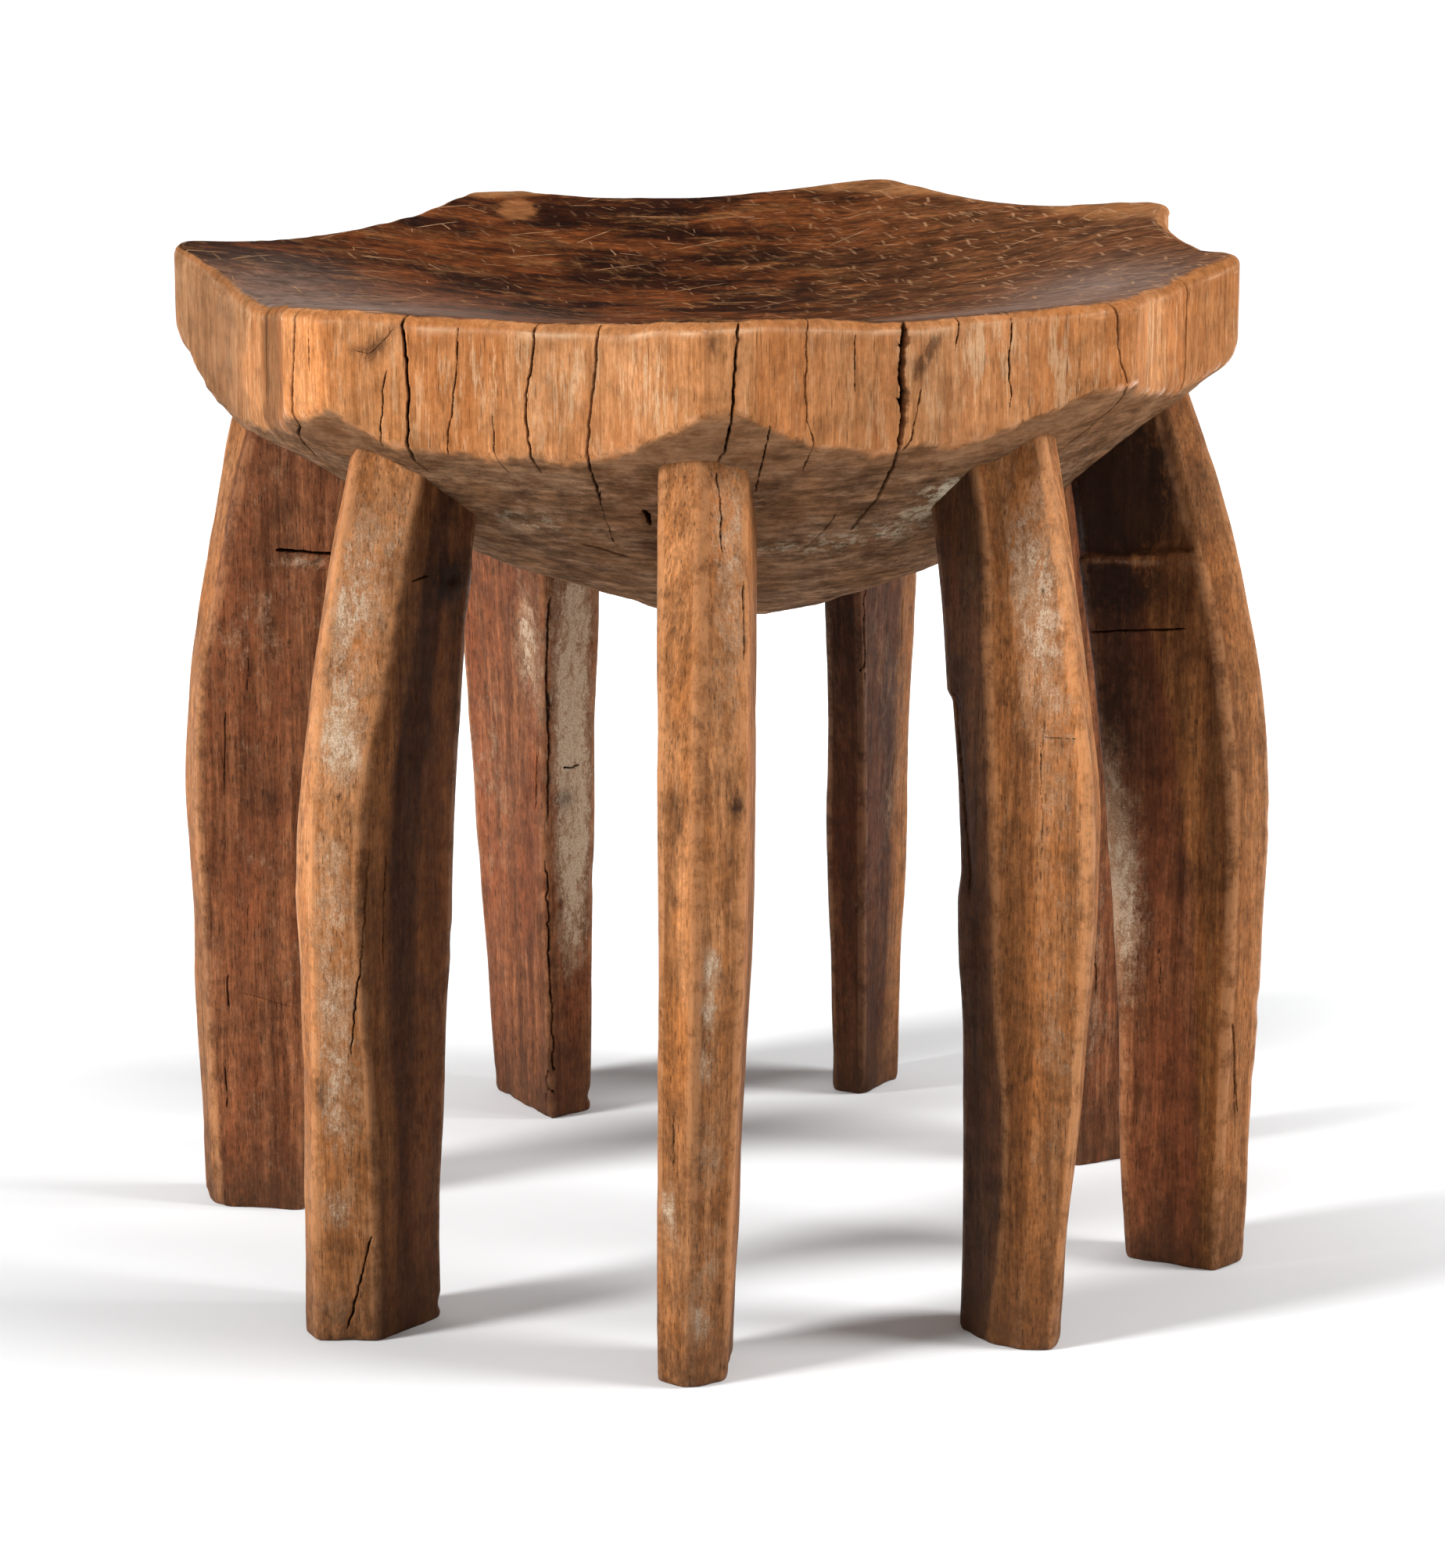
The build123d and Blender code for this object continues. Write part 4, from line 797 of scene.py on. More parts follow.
def make_leg(name, material, seed):
    az, out, across, side, loc, z = leg_shape(name)
    facts = LEG_FACTS[name]
    rows, n = z.shape
    centre = loc.mean(1, keepdims=True)
    d = np.roll(loc, -1, 1) - np.roll(loc, 1, 1)
    nrm = np.stack([d[..., 1], -d[..., 0]], -1)
    nrm /= np.maximum(np.linalg.norm(nrm, axis=-1, keepdims=True), 1e-9)
    if ((loc - centre) * nrm).sum(-1).mean() < 0:
        nrm = -nrm
    r, v = loc[..., 0], loc[..., 1]
    # long shallow cuts of the blade along each face, small dents, worn arrises
    o = seed * 13.7
    cut = 0.85 * noise(np.stack([r / 26 + o, v / 22, z / 62], -1), seed)
    cut += 0.34 * noise(np.stack([r / 9 + o, v / 9, z / 34], -1), seed + 1)
    cut += 0.16 * fbm(np.stack([r / 4.2 + o, v / 4.2, z / 15], -1), 2, seed + 2)
    bend = (loc - (np.roll(loc, 2, 1) + np.roll(loc, -2, 1)) / 2)
    bend = (bend * nrm).sum(-1)
    arris = np.clip(bend / 0.7, 0, 1)
    cut += 1.1
    cut -= arris * (0.15 + 0.8 * np.clip(noise(np.stack([r / 12 + o, v / 12, z / 17], -1), seed + 3), 0, 1) ** 2)
    # feet: rounded and chipped lower edge
    low = np.clip(1 - z / 4.0, 0, 1)
    cut -= (1.5 + 1.2 * noise(np.stack([r / 9 + o, v / 9, 0 * z], -1), seed + 4)) * (1 - np.sqrt(np.clip(1 - low**2, 0, 1)))
    chip = np.clip(noise(np.stack([r / 7 + o, v / 7, z / 8], -1), seed + 5) - 0.25, 0, 1) * smooth(16, 0, z) * (0.4 + arris)
    cut -= 2.6 * chip
    if name == "leg_right":  # step left by the saw: the front face is set back from a ledge up to the seat
        face = smooth(-11.0, -14.0, v) * smooth(219, 215, r)
        ledge = 320.5 + (r - 168) * 0.105
        cut -= 3.3 * face * smooth(-0.2, 1.4, z - ledge)
        cut -= 0.25 * face * (np.sin(np.hypot(r - 168, z - 250) * 1.35)) * smooth(322, 318, z) * smooth(288, 300, z)
    if name == "leg_left":  # torn lip under the saw kerf
        face = smooth(15.0, 18.0, v) * smooth(168, 172, r) * smooth(200, 190, r)
        lip = np.exp(-((z - 306.5) / 3.0) ** 2)
        cut -= face * lip * (0.9 + 1.3 * noise(np.stack([r / 3, v / 3, z / 1.6], -1), seed + 8))
    if name == "leg_front_right":  # split along the inner corner
        notch = smooth(-13.5, -17.0, v) * smooth(9, 3, np.abs(r - (181 + (279 - z) * 0.14))) * smooth(282, 277, z) * smooth(190, 206, z)
        cut -= 2.0 * notch
    if name == "leg_front_left":
        knot = ((r - 182.5) / 9) ** 2 + ((z - 327.5) / 8) ** 2
        cut += smooth(12, 15, v) * (2.0 * np.exp(-knot) - 2.6 * np.exp(-knot * 5))
    loc = loc + nrm * cut[..., None]
    # the tenon goes on from the top, which lies just inside the seat
    tr, tv, hw, ht = facts["tenon"]
    p = np.concatenate([loc, z[..., None]], -1)
    rim = p[-1]
    dd = rim[:, :2] - np.array([tr, tv])
    k = np.maximum(np.abs(dd[:, 0]) / hw, np.abs(dd[:, 1]) / ht)
    root = np.array([tr, tv]) + dd / k[:, None]
    zr = rim[:, 2] + (root[:, 0] - rim[:, 0]) * 0.55
    extra = [np.c_[rim[:, :2] + (root - rim[:, :2]) * f, rim[:, 2] + (zr - rim[:, 2]) * f] for f in (0.08, 0.3, 0.65, 0.95)]
    extra += [np.c_[root, zr]]
    extra += [np.c_[root, zr + (404.5 - zr) * f] for f in (0.08, 0.5, 1.0)]
    extra += [np.c_[np.array([tr, tv]) + (root - [tr, tv]) * f, np.full(n, 405.8)] for f in (0.93, 0.5)]
    under = []
    mid = p[0, :, :2].mean(0)
    for f in (0.1, 0.35, 0.7, 0.97):
        under.append(np.c_[mid + (p[0, :, :2] - mid) * f, np.zeros(n)])
    g = np.concatenate([np.array(under), p, np.array(extra)])
    first, last = len(under), len(under) + rows
    flat = g.reshape(-1, 3)
    world = np.c_[flat[:, :1] * out + flat[:, 1:2] * across, flat[:, 2]]
    ends = np.array([[*(mid[0] * out + mid[1] * across), 0.0], [*(tr * out + tv * across), 405.8]])
    vert = np.concatenate([world, ends])
    total = len(g)
    faces = [*grid_faces(total, n)]
    a, b = len(vert) - 2, len(vert) - 1
    faces += [[i, a, (i + 1) % n] for i in range(n)]
    faces += [[(total - 1) * n + i, (total - 1) * n + (i + 1) % n, b] for i in range(n)]
    loc3 = np.concatenate([flat, [[mid[0], mid[1], 0], [tr, tv, 405.8]]])
    ridge = np.interp(loc3[:, 2], LEG_Z, [row[0][0] for row in LEGS[name][1]])
    inside = ridge - loc3[:, 0] + 3.5 * noise(np.c_[loc3[:, 1] / 9, loc3[:, 2] / 55, 0 * loc3[:, 0] + o], seed + 6)
    light, depth_of, far, sharp = LEG_TONE[name]
    rough = 0.7 * noise(np.c_[loc3[:, 1] / 9, loc3[:, 2] / 55, loc3[:, 0] / 9], seed + 9)
    inside = inside if sharp > 3 else ridge - loc3[:, 0] + rough
    far = np.interp(loc3[:, 2], *np.array(far, float).T)
    heart = smooth(far - sharp, far + sharp, inside)
    tone = np.interp(loc3[:, 2] + 14 * noise(np.c_[loc3[:, :2] / 14 + o, loc3[:, 2] / 40], seed + 7), *np.array(light, float).T)
    ss = np.array([frac_of for frac_of in side])
    ring = np.r_[np.tile(ss, total), 0, 0] + 0.02 * noise(np.c_[loc3[:, :2] / 30, loc3[:, 2] / 45], seed + 10)
    prof = np.array(LEG_FACES[name], float)
    corners = len(LEGS[name][1][0])
    ring = np.mod(ring, corners)
    face_tone, face_heart, face_amber, face_film = (np.interp(ring, prof[:, 0], prof[:, k]) for k in (1, 2, 3, 4))
    if name == "leg_front_left":  # the shaded flank evens out towards the foot
        even = smooth(150, 60, loc3[:, 2]) * smooth(1.0, 1.1, ring) * smooth(2.1, 2.0, ring)
        face_tone += (0.62 - face_tone) * even
    if name == "leg_right":
        face_tone = face_tone * (1 + 0.75 * smooth(195, 95, loc3[:, 2]) * smooth(2.95, 3.02, ring) * smooth(4.0, 3.95, ring))
    tone = tone * face_tone
    heart = np.maximum(heart, face_heart)
    amber = face_amber
    film = np.interp(loc3[:, 2], *np.array(LEG_FILM.get(name, [(0, 1)]), float).T) * face_film
    edge = np.zeros((total, n))
    edge[first:last] = bend
    edge = np.r_[edge.reshape(-1), 0, 0]
    attrs = {
        "grain": (loc3 + np.array([o, seed * 7.3, seed * 31.0])) * 0.001,
        "heart": heart, "amber": amber, "tone": tone * (1 + blobs(loc3, facts.get("warm", []))), "deep": np.full(len(tone), depth_of), "edge": edge, "pale": film + blobs(loc3, facts["pale"]), "stain_and_shade": blobs(loc3, facts["stain_and_shade"]),
        "foot": np.clip(1 - loc3[:, 2] / 70, 0, 1),
    }
    cracks = []
    for i, (w, depth, path) in enumerate(facts["cracks"]):
        q = np.array([[*(u[0] * out + u[1] * across), u[2]] for u in path])
        q, length = wander(q, seed=seed + 200 + i)
        q = on_skin(q, vert, faces)
        cracks.append((w, depth, q, length))
    return solid(name + "_hewn", vert, faces, attrs, cracks, cuts=4, material=material, node=name)


# ---------------------------------------------------------------- materials
class Graph:
    """Short names for building a material's nodes."""

    def __init__(self, name):
        self.mat = bpy.data.materials.new(name)
        self.mat.use_nodes = True
        self.tree = self.mat.node_tree
        self.tree.nodes.clear()

    def node(self, kind, **props):
        n = self.tree.nodes.new(kind)
        for k, v in props.items():
            setattr(n, k, v)
        return n

    def put(self, socket, value):
        if isinstance(value, bpy.types.NodeSocket):
            self.tree.links.new(value, socket)
        elif isinstance(value, (tuple, list)) and len(value) == 3 and len(socket.default_value) == 4:
            socket.default_value = (*value, 1.0)
        else:
            socket.default_value = value

    def attr(self, name, out="Fac"):
        return self.node("ShaderNodeAttribute", attribute_name=name).outputs[out]

    def vec(self, v, scale, shift=(0, 0, 0)):
        n = self.node("ShaderNodeVectorMath", operation="MULTIPLY_ADD")
        self.put(n.inputs[0], v)
        self.put(n.inputs[1], scale)
        self.put(n.inputs[2], shift)
        return n.outputs[0]

    def warp(self, v, by, amount):
        """Shifts v by a colour-like vector centred on one half."""
        n = self.node("ShaderNodeVectorMath", operation="MULTIPLY_ADD")
        self.put(n.inputs[0], by)
        self.put(n.inputs[1], (amount, amount, amount))
        self.put(n.inputs[2], v)
        return n.outputs[0]

    def noise(self, v, scale, detail=4.0, rough=0.55, distortion=0.0, out="Fac"):
        n = self.node("ShaderNodeTexNoise")
        self.put(n.inputs["Vector"], v)
        n.inputs["Scale"].default_value = scale
        n.inputs["Detail"].default_value = detail
        n.inputs["Roughness"].default_value = rough
        n.inputs["Distortion"].default_value = distortion
        return n.outputs[out]

    def voronoi(self, v, scale, out="Distance", feature="F1", randomness=1.0):
        n = self.node("ShaderNodeTexVoronoi", feature=feature)
        self.put(n.inputs["Vector"], v)
        n.inputs["Scale"].default_value = scale
        n.inputs["Randomness"].default_value = randomness
        return n.outputs[out]

    def m(self, op, a, b=None, c=None, clamp=False):
        n = self.node("ShaderNodeMath", operation=op, use_clamp=clamp)
        for i, v in enumerate((a, b, c)):
            if v is not None:
                self.put(n.inputs[i], v)
        return n.outputs[0]

    def ramp(self, x, a, b, lo=0.0, hi=1.0):
        n = self.node("ShaderNodeMapRange", interpolation_type="SMOOTHSTEP")
        self.put(n.inputs["Value"], x)
        n.inputs["From Min"].default_value = a
        n.inputs["From Max"].default_value = b
        n.inputs["To Min"].default_value = lo
        n.inputs["To Max"].default_value = hi
        return n.outputs["Result"]

    def mix(self, f, a, b, kind="MIX"):
        n = self.node("ShaderNodeMix", data_type="RGBA", blend_type=kind)
        self.put(n.inputs[0], f)
        self.put(n.inputs[6], a)
        self.put(n.inputs[7], b)
        return n.outputs[2]

    def tone(self, col, f):
        """Colour times a number."""
        n = self.node("ShaderNodeVectorMath", operation="SCALE")
        self.put(n.inputs[0], col)
        self.put(n.inputs["Scale"], f)
        return n.outputs[0]

    def finish(self, colour, rough, heights, ior=1.25, level=0.5, coat=None):
        s = self.node("ShaderNodeBsdfPrincipled")
        o = self.node("ShaderNodeOutputMaterial")
        self.put(s.inputs["Base Color"], colour)
        self.put(s.inputs["Roughness"], rough)
        s.inputs["IOR"].default_value = ior
        s.inputs["Specular IOR Level"].default_value = level
        if coat is not None:
            self.put(s.inputs["Coat Weight"], coat)
            s.inputs["Coat Roughness"].default_value = 0.28
        last = None
        for height, dist in heights:
            b = self.node("ShaderNodeBump")
            b.inputs["Strength"].default_value = 1.0
            b.inputs["Distance"].default_value = dist
            self.put(b.inputs["Height"], height)
            if last is not None:
                self.tree.links.new(last, b.inputs["Normal"])
            last = b.outputs["Normal"]
        if last is not None:
            self.tree.links.new(last, s.inputs["Normal"])
        self.tree.links.new(s.outputs[0], o.inputs[0])
        return self.mat


def leg_wood():
    g = Graph("hewn_leg_wood")
    p = g.attr("grain", "Vector")
    heart, amber, tone, deep, edge, pale, stain_and_shade, foot, crack = (
        g.attr(k) for k in ("heart", "amber", "tone", "deep", "edge", "pale", "stain_and_shade", "foot", "crack"))
    sway = g.noise(g.vec(p, (1, 1, 0.35)), 24, 2, out="Color")
    q = g.warp(p, sway, 0.004)
    fibre = g.noise(g.vec(q, (1, 1, 0.035)), 1150, 5, 0.72)
    band = g.noise(g.vec(q, (1, 1, 0.045)), 230, 5, 0.68)
    streak = g.noise(g.vec(q, (1, 1, 0.03), (3, 9, 4)), 85, 4, 0.65)
    broad = g.noise(g.vec(q, (1, 1, 0.3)), 38, 4, 0.62)
    cloud = g.noise(p, 95, 6, 0.74)
    grime = g.noise(g.vec(p, (1, 1, 0.5)), 270, 7, 0.78)
    grit = g.noise(p, 1300, 4, 0.7)
    film = g.mixf(0.45, g.noise(g.vec(p, (1, 1, 0.65), (7, 3, 5)), 90, 9, 0.80), g.noise(g.vec(p, (1, 1, 0.6), (1, 3, 9)), 300, 6, 0.85))
    pore = g.voronoi(g.vec(q, (1, 1, 0.13)), 700)
    pore = g.ramp(pore, 0.25, 0.10)
    # sapwood outside, amber below it, heartwood inside
    sap = g.mix(g.ramp(band, 0.37, 0.63), (0.370, 0.143, 0.046), (0.600, 0.265, 0.104))
    sap = g.mix(g.ramp(broad, 0.40, 0.62), sap, (0.455, 0.165, 0.046))
    mid = g.mix(g.ramp(band, 0.36, 0.64), (0.230, 0.074, 0.018), (0.390, 0.150, 0.046))
    core = g.mix(g.ramp(band, 0.36, 0.64), (0.118, 0.036, 0.012), (0.240, 0.086, 0.034))
    core = g.tone(g.mix(g.ramp(broad, 0.42, 0.64), core, (0.190, 0.056, 0.020)), deep)
    wave = g.m("SUBTRACT", band, 0.5)
    col = g.mix(g.m("ADD", amber, g.m("MULTIPLY", wave, 0.9), clamp=True), sap, mid)
    h = g.m("MULTIPLY", heart, g.ramp(g.m("ADD", heart, g.m("MULTIPLY", wave, 0.7)), 0.20, 0.60))
    col = g.mix(h, col, core)
    col = g.tone(col, g.ramp(fibre, 0.28, 0.72, 0.74, 1.26))
    col = g.tone(col, g.ramp(g.noise(g.vec(q, (1, 1, 0.35), (4, 4, 1)), 620, 5, 0.8), 0.36, 0.62, 0.76, 1.16))
    col = g.tone(col, g.ramp(streak, 0.34, 0.66, 0.74, 1.22))
    col = g.tone(col, g.ramp(cloud, 0.34, 0.62, 0.70, 1.12))
    # dirt held in the hollows and in the pores
    col = g.mix(g.m("MULTIPLY", g.ramp(grime, 0.54, 0.69), 0.42), col, g.tone((0.125, 0.039, 0.011), g.m("ADD", 0.35, g.m("MULTIPLY", g.m("SUBTRACT", 1.0, heart), 0.65))))
    col = g.mix(g.m("MULTIPLY", pore, 0.58), col, g.tone((0.065, 0.022, 0.008), g.m("SUBTRACT", 1.0, g.m("MULTIPLY", heart, 0.6))))
    # rubbed pale patina: a thin film, densest in the middle of each patch; along leg_right's ledge the same film is a
    # painted highlight
    dense = g.m("ADD", g.m("MULTIPLY", g.m("MINIMUM", pale, 2.2), 0.46), g.m("MULTIPLY", g.m("SUBTRACT", film, 0.5), 3.4))
    dense = g.m("ADD", dense, g.m("MULTIPLY", g.m("SUBTRACT", fibre, 0.5), 0.35))
    haze = g.m("MULTIPLY", g.m("MULTIPLY", g.ramp(dense, 0.08, 0.86), 0.74), g.ramp(pale, 0.02, 0.25))
    thin = g.m("MULTIPLY", g.ramp(g.noise(g.vec(p, (1, 1, 0.3), (3, 1, 2)), 230, 7, 0.8), 0.57, 0.72), g.m("SUBTRACT", 0.34, g.m("MULTIPLY", heart, 0.22)))
    chalk = g.mix(g.ramp(grit, 0.38, 0.62), (0.40, 0.228, 0.122), (0.66, 0.440, 0.275))
    col = g.mix(g.m("MAXIMUM", haze, thin), col, chalk)
    crumb = g.m("ADD", g.noise(g.vec(p, (1, 1, 0.55), (2, 8, 6)), 210, 9, 0.86), g.m("MULTIPLY", g.m("MINIMUM", pale, 2.0), 0.075))
    crumb = g.m("MULTIPLY", g.ramp(crumb, 0.585, 0.635), g.ramp(pale, 0.30, 1.45, 0.0, 0.85))
    col = g.mix(crumb, col, g.mix(g.ramp(grit, 0.38, 0.62), (0.56, 0.370, 0.230), (0.80, 0.620, 0.450)))
    # worn arrises show fresh orange wood
    worn = g.m("MULTIPLY", g.ramp(edge, 0.16, 0.50), g.ramp(cloud, 0.38, 0.58, 0.15, 0.85))
    col = g.mix(g.m("MULTIPLY", worn, g.m("SUBTRACT", 0.9, g.m("MULTIPLY", heart, 0.55))), col, (0.57, 0.250, 0.098))
    # stains, with painted shade in leg_right's recess; specks, feet, cracks
    dark = g.m("MULTIPLY", stain_and_shade, g.ramp(g.noise(g.vec(p, (1, 1, 0.5)), 300, 6, 0.75), 0.34, 0.58, 0.35, 1.0), clamp=True)
    col = g.mix(g.m("MULTIPLY", dark, 0.86), col, (0.026, 0.010, 0.005))
    speck = g.m("MULTIPLY", g.ramp(g.voronoi(g.vec(p, (1, 1, 0.45), (5, 2, 8)), 85), 0.13, 0.05), g.ramp(cloud, 0.5, 0.6))
    col = g.mix(g.m("MULTIPLY", speck, 0.8), col, (0.040, 0.016, 0.007))
    col = g.tone(col, tone)
    dust = g.m("MULTIPLY", g.ramp(foot, 0.30, 1.0), g.ramp(grime, 0.40, 0.58, 0.25, 0.95))
    col = g.mix(g.m("MULTIPLY", dust, 0.70), col, (0.080, 0.034, 0.015))
    col = g.mix(crack, col, (0.020, 0.008, 0.004))
    rough = g.ramp(grime, 0.32, 0.7, 0.48, 0.68)
    rough = g.m("ADD", rough, g.m("MULTIPLY", haze, 0.16))
    rough = g.m("SUBTRACT", rough, g.m("MULTIPLY", worn, 0.12))
    return g.finish(col, rough, [(g.m("ADD", fibre, g.m("MULTIPLY", pore, -0.6)), 0.0008), (g.m("ADD", grime, g.m("MULTIPLY", cloud, 0.8)), 0.0011), (grit, 0.00018)],
                    ior=1.2, coat=g.m("MULTIPLY", worn, 0.12))


def seat_wood():
    g = Graph("hewn_seat_wood")
    p = g.node("ShaderNodeTexCoord").outputs["Object"]
    top, under, edge, pale, stain_and_shade, sapm, crack, down, tone, greying_and_sheen = (
        g.attr(k) for k in ("zone_top", "zone_under", "edge", "pale", "stain_and_shade", "sap", "crack", "down", "tone", "greying_and_sheen"))
    lip, shade = g.attr("lip"), g.attr("shade")
    sway = g.noise(g.vec(p, (1, 1, 0.35)), 30, 2, out="Color")
    q = g.warp(p, sway, 0.003)
    grit = g.noise(p, 1500, 3, 0.6)
    cloud = g.noise(p, 70, 5, 0.66)
    # band: upright fibres, rubbed pale streaks
    fibre = g.noise(g.vec(q, (1, 1, 0.055)), 1500, 5, 0.72)
    stripe = g.noise(g.vec(q, (1, 1, 0.05)), 300, 5, 0.7)
    broad = g.noise(g.vec(p, (1, 1, 0.3)), 34, 4, 0.6)
    pore = g.ramp(g.voronoi(g.vec(q, (1, 1, 0.10)), 620), 0.26, 0.10)
    rim = g.mix(g.ramp(stripe, 0.34, 0.66), (0.370, 0.148, 0.050), (0.540, 0.240, 0.096))
    rim = g.mix(g.ramp(broad, 0.40, 0.64), rim, g.mix(g.ramp(stripe, 0.35, 0.65), (0.375, 0.130, 0.038), (0.500, 0.195, 0.066)))
    rim = g.tone(rim, g.ramp(fibre, 0.28, 0.72, 0.84, 1.16))
    hair = g.ramp(g.noise(g.vec(q, (1, 1, 0.02), (9, 1, 3)), 520, 4, 0.7), 0.60, 0.68)
    rim = g.mix(g.m("MULTIPLY", hair, 0.62), rim, (0.150, 0.055, 0.020))
    rim = g.tone(rim, g.ramp(g.noise(g.vec(q, (1, 1, 0.4), (4, 4, 1)), 560, 5, 0.8), 0.36, 0.62, 0.84, 1.12))
    rub = g.noise(g.vec(q, (1, 1, 0.16), (2, 5, 1)), 210, 7, 0.78)
    rubbed = g.m("MULTIPLY", g.ramp(g.m("ADD", g.m("ADD", rub, g.m("MULTIPLY", g.m("SUBTRACT", fibre, 0.5), 0.25)), g.m("MULTIPLY", pale, 0.09)), 0.53, 0.64),
                 g.m("ADD", 0.34, g.m("MULTIPLY", pale, 0.6)), clamp=True)
    rim = g.mix(rubbed, rim, g.tone((0.66, 0.425, 0.245), g.ramp(fibre, 0.3, 0.7, 0.80, 1.12)))
    rim = g.mix(g.m("MULTIPLY", pore, 0.50), rim, (0.100, 0.036, 0.012))
    rim = g.mix(greying_and_sheen, rim, g.tone((0.50, 0.300, 0.175), g.ramp(stripe, 0.35, 0.65, 0.72, 1.15)))
    rim = g.tone(rim, tone)
    # top: dark heartwood, near-black blotches, nicks and scratches; pale sapwood where the log's edge shows
    flatp = g.vec(p, (1, 1, 0.2))
    blotch = g.noise(g.vec(flatp, (0.60, 1.0, 1.0)), 25, 6, 0.68)
    drift = g.noise(g.vec(flatp, (0.8, 1.0, 1.0), (3, 1, 0)), 13, 3, 0.6)
    fleck = g.noise(g.vec(flatp, (0.32, 1.0, 1.0)), 300, 6, 0.75)
    fine = g.noise(g.vec(flatp, (0.30, 1.0, 1.0), (0, 0, 4)), 1100, 3, 0.6)
    east = g.ramp(g.node_x(p), -0.02, 0.17)
    seat = g.mix(g.ramp(g.m("ADD", blotch, g.m("MULTIPLY", g.m("SUBTRACT", drift, 0.5), 0.5)), 0.43, 0.600), (0.022, 0.0056, 0.0020), (0.106, 0.0285, 0.0074))
    seat = g.mix(g.m("MULTIPLY", g.ramp(g.noise(g.vec(flatp, (0.5, 1, 1), (8, 3, 0)), 60, 6, 0.75), 0.51, 0.63), 0.60), seat, (0.175, 0.070, 0.023))
    seat = g.mix(g.m("MULTIPLY", east, 0.6), seat, (0.165, 0.062, 0.023))
    seat = g.tone(seat, g.ramp(g.noise(g.vec(flatp, (0.34, 1.0, 1.0), (2, 0, 6)), 95, 6, 0.80), 0.38, 0.62, 0.55, 1.34))
    seat = g.tone(seat, g.ramp(fleck, 0.30, 0.70, 0.42, 1.50))
    seat = g.tone(seat, g.ramp(fine, 0.30, 0.70, 0.80, 1.20))
    # painted sheen: a grey veil over the front patches of the top
    seat = g.mix(g.m("MULTIPLY", greying_and_sheen, g.ramp(fleck, 0.3, 0.7, 0.5, 1.0)), seat, (0.240, 0.150, 0.110))
    light = g.tone((0.275, 0.115, 0.042), g.ramp(fleck, 0.3, 0.7, 0.70, 1.25))
    seat = g.mix(g.m("MULTIPLY", sapm, g.ramp(blotch, 0.34, 0.56, 0.45, 1.0)), seat, light)
    knot = g.near(g.vec(p, (1, 0.45, 1)), (-0.0957, 0.0816, 0.4437), 0.0100)
    knot = g.m("ADD", knot, g.m("MULTIPLY", g.m("SUBTRACT", g.noise(p, 90, 5, 0.75), 0.5), 1.6))
    knot = g.m("ADD", knot, g.m("MULTIPLY", g.m("SUBTRACT", fleck, 0.5), 0.9))
    seat = g.mix(g.m("MULTIPLY", g.ramp(knot, 1.15, 0.60), g.ramp(fleck, 0.30, 0.62, 0.55, 0.9)), seat, g.mix(g.ramp(fleck, 0.3, 0.7), (0.205, 0.072, 0.023), (0.335, 0.132, 0.046)))
    nick_all = None
    for scale, turn, spread, length, thick, shift, cover, side in (
        (46, 1.15, 0.5, 0.30, 0.050, (0.3, 0.1, 0), 0.60, 1), (52, 1.35, 0.5, 0.26, 0.055, (5.3, 0.7, 0), 0.60, 1), (64, 0.9, 0.7, 0.30, 0.060, (2.9, 8.7, 0), 0.50, 1),
        (95, 0.7, 1.4, 0.28, 0.055, (6.3, 4.7, 0), 0.45, 1), (52, 0.5, 1.6, 0.34, 0.034, (1.7, 0.4, 0), 0.40, 0), (26, -0.5, 1.2, 0.42, 0.020, (4.1, 2.2, 0), 0.45, 0),
        (84, 0.3, 2.4, 0.30, 0.035, (7.7, 3.2, 0), 0.40, 0)):
        nick = g.dashes(p, scale, turn, spread, length, thick, shift, cover)
        nick = g.m("MULTIPLY", nick, g.ramp(fleck, 0.40, 0.62, 0.45, 1.0))
        if side:
            nick = g.m("MULTIPLY", nick, g.m("ADD", 0.15, g.m("MULTIPLY", east, 0.85)))
        nick_all = nick if nick_all is None else g.m("MAXIMUM", nick_all, nick)
    seat = g.mix(g.m("MULTIPLY", nick_all, 0.90), seat, (0.410, 0.220, 0.112))
    # bowl: greyish brown, tooled across, browner just under the crease and darker further down; these dark colours are
    # partly painted shade of the underside
    tool = g.noise(g.vec(p, (0.20, 0.20, 1.5)), 330, 6, 0.75)
    mott = g.noise(g.vec(p, (0.5, 0.5, 1.2)), 105, 7, 0.78)
    patch = g.noise(g.vec(p, (1, 1, 1.4)), 32, 4, 0.65)
    bowl = g.mix(g.ramp(mott, 0.38, 0.62), (0.120, 0.060, 0.031), (0.300, 0.172, 0.098))
    bowl = g.mix(g.ramp(patch, 0.42, 0.60), bowl, g.tone((0.215, 0.108, 0.053), g.ramp(mott, 0.36, 0.64, 0.66, 1.30)))
    bowl = g.tone(bowl, g.ramp(tool, 0.30, 0.70, 0.55, 1.42))
    near_rim = g.mix(g.ramp(mott, 0.35, 0.65), (0.205, 0.093, 0.042), (0.325, 0.172, 0.088))
    near_rim = g.tone(near_rim, g.ramp(tool, 0.30, 0.70, 0.74, 1.22))
    bowl = g.mix(g.ramp(g.m("ADD", down, g.m("MULTIPLY", g.m("SUBTRACT", patch, 0.5), 0.5)), 0.44, 0.22), bowl, near_rim)
    flake = g.m("MULTIPLY", g.ramp(g.m("ADD", g.noise(p, 150, 8, 0.8), g.m("MULTIPLY", pale, 0.13)), 0.54, 0.62), g.m("MULTIPLY", pale, 1.1), clamp=True)
    bowl = g.mix(flake, bowl, g.tone((0.70, 0.60, 0.43), g.ramp(tool, 0.3, 0.7, 0.7, 1.1)))
    col = g.mix(under, rim, bowl)
    col = g.mix(top, col, seat)
